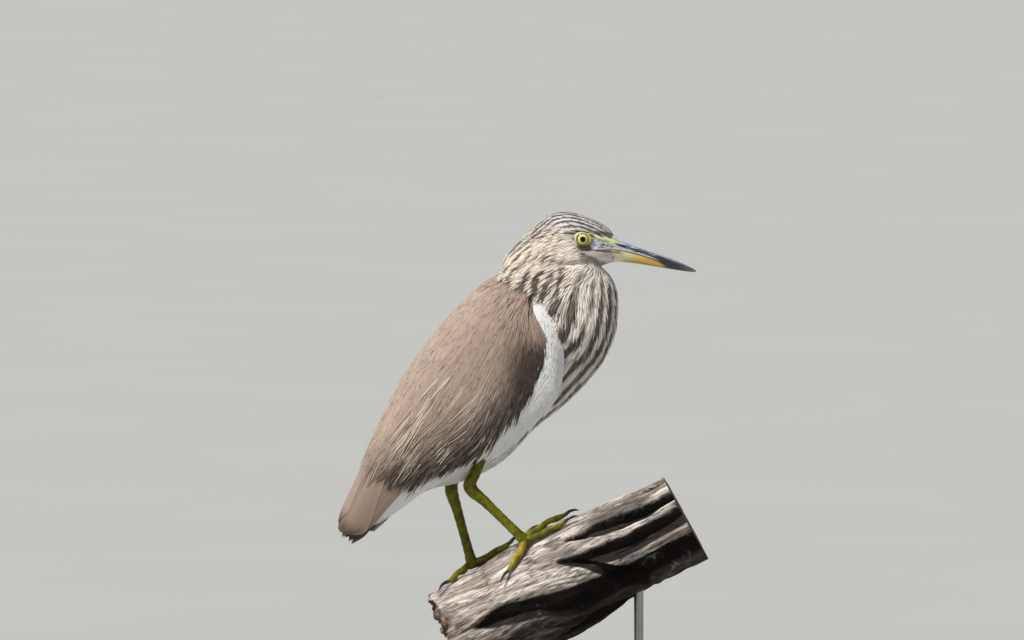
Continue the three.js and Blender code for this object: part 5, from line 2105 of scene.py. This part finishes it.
@dataclass
class Branch(Sheet):
    """The weathered branch: s along its axis, and turn round it from its top towards the left."""

    axis: Pitched = Pitched(35, 104.5, math.radians(29))
    radii: tuple[float, float] = (40.5, 35.5)  # at the lower and the upper end
    lower: float = -86  # where the ends lie along the axis
    upper: float = 104
    rings: int = 222
    around: int = 380
    torn_rings: int = 24
    sawn_rings: int = 8
    span = ((-95.0, 110.0), (-HALF_TURN, HALF_TURN))

    def radius(self, s: Array, turn: Array) -> Array:
        """Radius of the hull: a taper with slow swellings and furrows that wind round it.

        Args:
            s: Places along the axis.
            turn: Turns.

        Returns:
            Radii.
        """
        taper = mix(*self.radii, (s - self.lower) / (self.upper - self.lower))
        swell = 1 + 0.03 * np.sin(s * 0.045 + 1) + 0.03 * np.cos(turn * 2 + s * 0.02)
        down = 1 - np.cos(turn)
        furrows = 0.035 * np.cos(turn * 5 + s * 0.03) + 0.02 * down * np.cos(turn * 9 - s * 0.045 + 2)
        return taper * (swell + furrows)

    def point(self, a: Array, b: Array, lift: Array | float = 0.0) -> Array:
        """Place on the branch, lifted off its hull."""
        r = self.radius(a, b) + lift
        return self.axis.point(a, r * np.sin(b), r * np.cos(b))

    def build(self, feet: Array) -> None:
        """Adds the branch with its hollows, fibres, broken end and sawn end.

        Hollows are cut inwards only and are shallow under the feet.  Fibres are folded noise on
        a twisted, drawn-out place round the branch.  Its colour holds painted light on the top and
        painted shade underneath and in the hollows and splits.

        Args:
            feet: Places of the toes.
        """
        def near_axis(angle: Array, z: Array, girth: float = GIRTH) -> Array:
            """Places round a cylinder, z along it."""
            return np.stack([np.cos(angle) * girth, np.sin(angle) * girth, z], -1)

        def ring(stretch: float, scale: float, seed: float) -> Array:
            """Noise round and along the branch, drawn out along it by a factor below one."""
            return noise(near_axis(twist, s * stretch), scale, seed)

        share, turn = np.linspace(0, 1, self.rings), turns(self.around) - HALF_TURN
        s, b = lattice(mix(self.lower, self.upper, share), turn)
        place = self.point(s, b)
        free = smooth(3, 12, np.min([np.linalg.norm(place - foot, axis=-1) for foot in feet], axis=0))
        bend = 0.1 * noise(near_axis(b, s * 0.6), 0.035, 5)
        twist = b + 0.004 * s + 0.08 * np.sin(s * 0.035) + bend
        jagged = 3.0 * ring(0.25, 0.16, 51) + 0.5 * ring(0.5, 0.6, 52)
        hollow = sum(valley.cut(s, b + 0.5 * bend, jagged) for valley in VALLEYS)
        plates = smooth(0.02, 0.14, ring(0.24, 0.075, 40) + 0.1 * ring(0.4, 0.45, 41))
        second = smooth(0.3, 0.42, ring(0.2, 0.11, 43) + 0.1 * ring(0.5, 0.5, 44))
        split = smooth(0.72, 1, 1 - np.abs(ring(0.12, 0.1, 2))) * smooth(0.0, 0.5, ring(0.3, 0.05, 3))
        strands = 1 - np.abs(rough(near_axis(twist, s * 0.14), 0.2, 2, 6))
        lumps = rough(near_axis(twist, s * 0.5), 0.16, 3, 9)
        deep = (hollow + plates + 0.8 * second + 1.6 * split) * mix(0.1, 1, free)
        texture = (0.55 * smooth(0.4, 1, strands) + 0.5 * (0.6 + lumps)) * mix(0.35, 1, free)
        cut = np.maximum(deep + texture + 1.8 * smooth(-0.2, 0.9, ring(0.3, 0.04, 14)) * free, 0)
        splinter = 6 * noise(near_axis(b, 0 * b, 6), 1.0, 3) * (1 - share[:, None]) ** 4
        points = self.point(s + splinter, b, -cut)
        uneven = 0.22 * ring(0.3, 0.1, 61) + 0.12 * ring(0.45, 0.4, 62)
        tint = layered(
            "b3aaa3",
            ("857970", smooth(-0.4, 0.7, ring(0.3, 0.06, 22))),
            # Paler on the top: painted light.
            ("ddd3ca", 0.85 * smooth(0.0, 0.8, np.cos(b + 0.5)) * (1 - 0.6 * second)),
            ("93755d", 0.4 * smooth(0.45, 0.8, ring(0.25, 0.07, 31))),
            ("6a5d54", 0.5 * smooth(0.3, 0.9, plates * (0.6 + lumps))),
            ("4a3f38", 0.55 * smooth(0.6, 0.95, strands)),
            # Near black underneath: painted shade.
            ("2a241f", 0.88 * smooth(-0.22, -0.48, np.cos(b) + uneven)),
            # Near black in the hollows and splits, by their depth: painted shade.
            ("15100d", 0.96 * np.clip(0.85 * split + smooth(1.0, 2.3, hollow), 0, 1)),
        )
        torn = self.end(True, s[0] + splinter[0], b[0], cut[0])[::-1]
        sawn = self.end(False, s[-1] + splinter[-1], b[-1], cut[-1])
        years = np.cos(np.linspace(1, 0, self.sawn_rings)[:, None] * 80 + 3 * noise(sawn, 0.08, 5))
        torn_tint = blend("9b8a74", "3a2f27", 0.5 + 0.6 * rough(torn, 0.4, 3, 4))
        sawn_tint = blend("9b8a74", "6f5a45", 0.5 + 0.4 * years)
        grid = np.concatenate([torn, points, sawn])
        shape = tube(grid, np.concatenate([torn_tint, tint, sawn_tint]))
        shape.uv = self.grain_map(turn, len(grid))
        add_piece("branch", shape, DeadWoodFinish().build(), "dead_wood", ["perch"], sharp=75)

    def grain_map(self, turn: Array, rows: int) -> Array:
        """Map of the grain: along the branch on its bark, in all ways on the torn end, and in
        rings on the sawn one.

        Args:
            turn: Turns of the corners of a ring.
            rows: Number of rings.

        Returns:
            Coordinates of every corner, the two poles last.
        """
        around, row = np.meshgrid(np.abs(turn) / HALF_TURN, np.arange(rows, dtype=float))
        uv = np.stack([around, row / (rows - 1)], -1)
        torn = row[: self.torn_rings] / self.torn_rings
        sawn = (rows - row[-self.sawn_rings :]) / self.sawn_rings
        uv[: self.torn_rings] = np.stack([0.32 * torn * np.cos(turn), 1.3 * torn * np.sin(turn)], -1)
        uv[-self.sawn_rings :] = np.stack([0.45 * sawn, 1 + 0.05 * around[-self.sawn_rings :]], -1)
        return np.concatenate([uv.reshape(-1, 2), [[0, 0], [0, 1]]])

    def end(self, torn: bool, s: Array, b: Array, cut: Array) -> Array:
        """Rings that close an end of the branch.

        Args:
            torn: True for the torn end, whose middle sticks out in splinters.
            s: Places of the rim along the axis.
            b: Turns of the rim.
            cut: Depth of the cracks at the rim.

        Returns:
            Rings from the rim inwards.
        """
        share = np.linspace(0.97, 0.04, self.torn_rings if torn else self.sawn_rings)[:, None]
        radius, at = self.radius(self.lower if torn else self.upper, b) - cut, s + 0.4 * (1 - share)
        if torn:
            spots = np.stack([np.cos(b) * share, np.sin(b) * share, 0 * b * share], -1) * GIRTH
            jut = 4.5 * noise(spots, 0.09, 8) + 2.6 * noise(spots, 0.3, 18) + 1.2 * noise(spots, 0.8, 28)
            at = mix(self.lower - 2 + jut, s, share**9)
            radius = mix(self.radii[0] - 3, radius, share**5)
        r = radius * share
        return self.axis.point(at, r * np.sin(b), r * np.cos(b))


# ---- feet and legs


@dataclass(frozen=True)
class Toe:
    """Where a toe's tip lies from the pad, along and round the branch, and its thickness."""

    along: float
    turned: float
    radius: float


@dataclass
class Leg:
    """One leg: bare thigh, ankle, scaled shank, foot of four toes, and claws."""

    name: str
    ankle: tuple[float, float, float]
    knee: tuple[float, float, float]
    pad: tuple[float, float]  # place along the branch, and turn round it in degrees
    toes: dict[str, Toe]
    lift: float = 0.35  # gap between a toe and the branch's hull
    arch: float = 1.2  # rise of every other joint of a toe
    claw: float = 11.0  # length
    limb_rings: int = 150
    toe_rings: int = 70
    palm_rings: int = 24
    claw_rings: int = 40

    def stood(self, branch: Branch, along: Array = 0.0, turned: Array = 0.0, lift: Array = 0.0) -> Array:
        """Place off the branch, along and round it from the foot's pad."""
        return branch.point(self.pad[0] + along, np.radians(self.pad[1] + turned), lift)

    def toe_line(self, branch: Branch, toe: Toe) -> Array:
        """Middle of a toe from the pad to its tip, arched between its joints.

        Args:
            branch: What the toe lies on.
            toe: The toe.

        Returns:
            Six points.
        """
        i = np.arange(6)
        part = i / 5
        arch = np.where(i == 0, 2 * self.arch, self.arch * (i % 2) * (1 - 0.5 * part))
        lift = toe.radius * mix(1, 0.72, part) + self.lift + arch
        return self.stood(branch, toe.along * part, toe.turned * part, lift)

    @staticmethod
    def scaled(path: Array, radii: Array, side: Array, scutes: float, skin: tuple, around: int = 40) -> Shape:
        """A limb with broad overlapping scutes on its front.

        The ring is a circle whose front is raised in steps: each scute rises along the limb and
        drops at its end.

        Args:
            path: Points along the middle.
            radii: Radius at each point.
            side: Direction that the scutes face.
            scutes: Number of scutes per millimetre.
            skin: Colours of the light and dark skin.
            around: Places round a ring.

        Returns:
            The painted limb.
        """
        run = np.concatenate([[0], np.cumsum(np.linalg.norm(np.diff(path, axis=0), axis=-1))])
        run, turn = lattice(run, turns(around))
        front = smooth(0.1, 0.75, np.cos(turn))
        saw = (run * scutes + 0.06 * np.cos(turn * 3)) % 1
        step = smooth(0, 0.8, saw) * fall(0.86, 1.0, saw)
        bump = 1 + front * 0.07 * (step - 0.4) + 0.02 * np.cos(3 * turn + run)
        grid = sweep(path, radii, side, circle(turn) * bump[..., None])
        light, dark = skin
        mottle = 0.5 + 0.5 * noise(grid, 0.25, 3) + 0.3 * noise(grid, 1.1, 6)
        tint = layered(light, (dark, mottle), (colour(dark) * 0.35, front * fall(0.0, 0.14, saw) * 0.8))
        return tube(grid, tint)

    def build(self, branch: Branch, scales: Material, horn: Material) -> None:
        """Adds the limb, foot and claws.

        Args:
            branch: What the foot stands on.
            scales: Finish of the skin.
            horn: Finish of the claws.
        """
        olive, yellow = ("828012", "4d4b06"), ("c2a826", "857a12")
        ankle, knee = np.array(self.ankle), np.array(self.knee)
        joint = mix(self.stood(branch, lift=3.6), ankle, 0.07)
        shin, foot = mix(knee, ankle, 0.62), [mix(ankle, joint, part) for part in (0, 0.3, 0.65, 1)]
        path = curve_through([knee + 0.35 * (knee - ankle), knee, shin, *foot], self.limb_rings)
        radii = profile((6, 5.2, 4.0, 4.8, 3.7, 3.35, 3.7), self.limb_rings)
        limb = self.scaled(path, radii, (1.0, 0, 0.6), 0.42, olive)
        add_piece(f"leg_{self.name}", limb, scales, "leg_skin", [f"thigh_{self.name}", f"shank_{self.name}"])
        shapes = []
        for name, toe in self.toes.items():
            path = curve_through(self.toe_line(branch, toe), self.toe_rings)
            radii = toe.radius * profile((1.25, 1, 1.08, 0.84, 0.92, 0.55), self.toe_rings)
            up = unit(path - self.stood(branch, toe.along / 2, toe.turned / 2, -30))
            skin = yellow if name == "hind" and self.name == "right" else olive
            shapes.append(self.scaled(path, radii, up, 0.55, skin, 28))
        low = self.stood(branch, lift=0.8)
        palm = curve_through([low, mix(low, joint, 0.5), joint, mix(joint, ankle, 0.06)], self.palm_rings)
        share = np.linspace(0, 1, self.palm_rings)
        radii = mix(3.4, 3.7, share) + 0.7 * np.sin(share * HALF_TURN)
        shapes.append(self.scaled(palm, radii, (1.0, 0, 0.3), 0.4, olive))
        add_piece(f"toes_{self.name}", joined(shapes), scales, "leg_skin", [f"foot_{self.name}"])
        for name, toe in self.toes.items():
            claw = self.nail(branch, toe)
            add_piece(f"nail_{self.name}_{name}", claw, horn, "claw_horn", [f"claw_{self.name}_{name}"])

    def nail(self, branch: Branch, toe: Toe) -> Shape:
        """A curved claw that grows out of the toe's tip.

        Args:
            branch: What the toe lies on.
            toe: The toe.

        Returns:
            The claw, dark with a paler root.
        """
        line = self.toe_line(branch, toe)
        end, forward = line[-1], unit(line[-1] - line[-2])
        up = unit(self.stood(branch, toe.along, toe.turned, 8) - self.stood(branch, toe.along, toe.turned))
        start = toe.radius * 0.125 + self.lift
        curve = ((-0.12, 0.1), (0, 0.2), (0.35, 1.0), (0.75, 0.4), (1, -1.2))
        points = [end + forward * (start + self.claw * along) + up * height for along, height in curve]
        path = curve_through(points, self.claw_rings)
        share = np.linspace(0, 1, self.claw_rings)
        radii = Table(((0, 1.15), (0.2, 1.5), (0.5, 1.15), (0.8, 0.7), (1, 0.12))).one(share)
        grid = sweep(path, radii, up, circle(turns(24)) * (1, 0.72))
        dark = np.broadcast_to(smooth(0.05, 0.5, share)[:, None], grid.shape[:2])
        return tube(grid, blend("6a6152", "1d1a17", dark))


LEGS = (
    Leg("right", (-30.5, -17, 177), (-20.5, -17.5, 206), (-6, -20), {
        "inner": Toe(20, 50, 2.3),
        "middle": Toe(34, 25, 2.5),
        "outer": Toe(31, -3, 2.4),
        "hind": Toe(-21, -24, 2.5),
    }),
    Leg("left", (-44.5, 13, 173), (-37, 18, 200), (-50, 20), {
        "inner": Toe(33, -16, 2.3),
        "middle": Toe(40, 8, 2.5),
        "outer": Toe(29, 36, 2.4),
        "hind": Toe(-20, -22, 2.5),
    }),
)


# ---- stand and studio


@dataclass
class Stand:
    """The flat base and the two rods that carry the branch."""

    length: float = 250
    width: float = 150
    height: float = 14
    corner: float = 18  # radius of a corner from above
    bevel: float = 2.0  # radius of the eased edges
    # Name of each rod, and where it goes in along the branch's axis.
    rods: tuple[tuple[str, float], ...] = (("lower", -34), ("upper", 66))

    def base(self) -> Shape:
        """A slab whose corners are round and whose edges are eased.

        Rings go up the edge: each is the rounded rectangle, drawn in by the bevel's circle.

        Returns:
            The slab.
        """
        quarter = HALF_TURN / 2
        turn, lean = np.linspace(0, quarter, 13), np.linspace(0, quarter, 9)
        eased, sunk = self.bevel * (1 - np.sin(lean)), self.bevel * (1 - np.cos(lean))
        corners = ((-1, (1, -1)), (0, (1, 1)), (1, (-1, 1)), (2, (-1, -1)))
        rings = []
        for draw, z in zip([60, *eased, *sunk, 60], [0, *sunk, *(self.height - eased), self.height]):
            radius = max(self.corner - draw, 0.5)
            middle = np.array([self.length, self.width]) / 2 - draw - radius
            ring = np.concatenate([middle * way + radius * circle(turn + k * quarter) for k, way in corners])
            rings.append(np.pad(ring, ((0, 0), (0, 1)), constant_values=z))
        return tube(np.stack(rings))

    def rod(self, branch: Branch, along: float) -> Shape:
        """A rod with a collar, turned round an upright axis.

        Args:
            branch: The branch that it carries.
            along: Where on the branch's axis it goes in.

        Returns:
            The rod, its top just inside the branch.
        """
        x, _, top = branch.axis.point(along, 0.0, 0.0) - (0, 0, 24)
        foot = self.height + 0.35
        r, z = Table((
            (0, 0.5, foot), (1, 7.6, foot), (1.4, 8, foot + 0.5), (2, 8, foot + 3.2), (3, 7.2, foot + 4.2),
            (4, 4.6, foot + 5), (5, 3.6, foot + 5.6), (6, 3.5, foot + 8), (7, 3.5, top - 4), (8, 3.5, top),
        )).at(np.linspace(0, 8, 90)).T[..., None]
        turn = turns(40)
        return tube(np.stack([x + r * np.cos(turn), r * np.sin(turn), z + 0 * turn], -1))

    def build(self, branch: Branch) -> None:
        """Adds the base and both rods.

        Args:
            branch: What they carry.
        """
        wood, steel = StandWoodFinish().build(), SteelFinish().build()
        add_piece("base_board", self.base(), wood, "stand_wood", ["stand_base"], sharp=40)
        for name, along in self.rods:
            rod = self.rod(branch, along)
            add_piece(f"rod_{name}", rod, steel, "rod_steel", [f"stand_rod_{name}"], sharp=40)


@dataclass
class Studio:
    """Pale floor, soft lamps and the camera."""

    target: tuple[float, float, float] = (0.0, 0.0, 0.298)  # in metres
    distance: float = 6.0  # from the camera to the target, in metres
    elevation: float = math.radians(4)
    width: float = 0.7475  # of the view at the target, in metres
    floor_reach: float = 70e3  # from the middle to an edge, in millimetres
    floor_depth: float = 20.0  # in millimetres

    def put(self, name: str, data: bpy.types.ID, towards: Vector) -> bpy.types.Object:
        """Links an object whose back looks in a direction, as a lamp or camera needs.

        Args:
            name: Its name.
            data: Its lamp or camera.
            towards: The direction.

        Returns:
            The object.
        """
        item = bpy.data.objects.new(name, data)
        item.rotation_euler = towards.to_track_quat("Z", "Y").to_euler()
        bpy.context.scene.collection.objects.link(item)
        return item

    def lamp(self, name: str, way: tuple, strength: float, spread: float, tone: tuple) -> None:
        """A distant soft lamp.

        Args:
            name: Its name.
            way: Direction towards it.
            strength: Its strength in watts per square metre.
            spread: Angle that it fills, in degrees.
            tone: Its colour.
        """
        data = bpy.data.lights.new(name, "SUN")
        data.energy, data.angle, data.color = strength, math.radians(spread), tone
        self.put(name, data, Vector(way))

    def build(self) -> None:
        """Adds the floor, finer near the middle, the lamps, sky and camera, and keeps colours plain."""
        s = np.linspace(-1, 1, 41) ** 3 * self.floor_reach
        x, y = lattice(s, s)
        outer = np.stack([x, y, 0 * x], -1)
        add_piece("floor", shell(outer, outer - (0, 0, self.floor_depth)), FloorFinish().build(), None)
        self.lamp("key", (-0.5, -0.4, 0.77), 4.3, 8, (1.0, 0.965, 0.92))
        self.lamp("fill", (0.6, -0.75, 0.3), 0.12, 60, (0.88, 0.94, 1.0))
        self.lamp("rim", (-0.5, 0.8, 0.6), 0.5, 30, (1.0, 0.98, 0.95))
        scene, world = bpy.context.scene, bpy.data.worlds.new("sky")
        world.use_nodes = True
        sky = world.node_tree.nodes["Background"].inputs
        sky["Color"].default_value, sky["Strength"].default_value = (0.86, 0.92, 1.0, 1), 0.28
        scene.world = world
        scene.view_settings.view_transform = "Standard"
        data = bpy.data.cameras.new("camera")
        data.sensor_width = 36
        data.lens = data.sensor_width * self.distance / self.width
        data.clip_start, data.clip_end = 0.1, 200
        back = Vector((0, -math.cos(self.elevation), math.sin(self.elevation)))
        scene.camera = self.put("camera", data, back)
        scene.camera.location = Vector(self.target) + back * self.distance


def main() -> None:
    """Builds every sub-assembly in order."""
    logging.basicConfig(level=logging.INFO, format="%(message)s", stream=sys.stderr)
    Studio().build()
    trunk, branch = Trunk(), Branch()
    feathers = PlumageFinish().build()
    Skin(trunk).build()
    TrunkPlumage(trunk, feathers).build()
    for name, side in SIDES.items():
        Wing(name, side, feathers).build()
    Tail(feathers).build()
    gloss, lid_skin = EyeFinish().build(), BareSkinFinish("lid_skin").build()
    for name, side in SIDES.items():
        Eye(name, side).build(gloss, lid_skin)
    Bill().build()
    scales, horn = LegFinish().build(), HornFinish("claw_horn", 0.3, (400.0, 400.0, 400.0)).build()
    for leg in LEGS:
        leg.build(branch, scales, horn)
    branch.build(np.concatenate([leg.toe_line(branch, toe) for leg in LEGS for toe in leg.toes.values()]))
    Stand().build(branch)


if __name__ == "__main__":
    main()
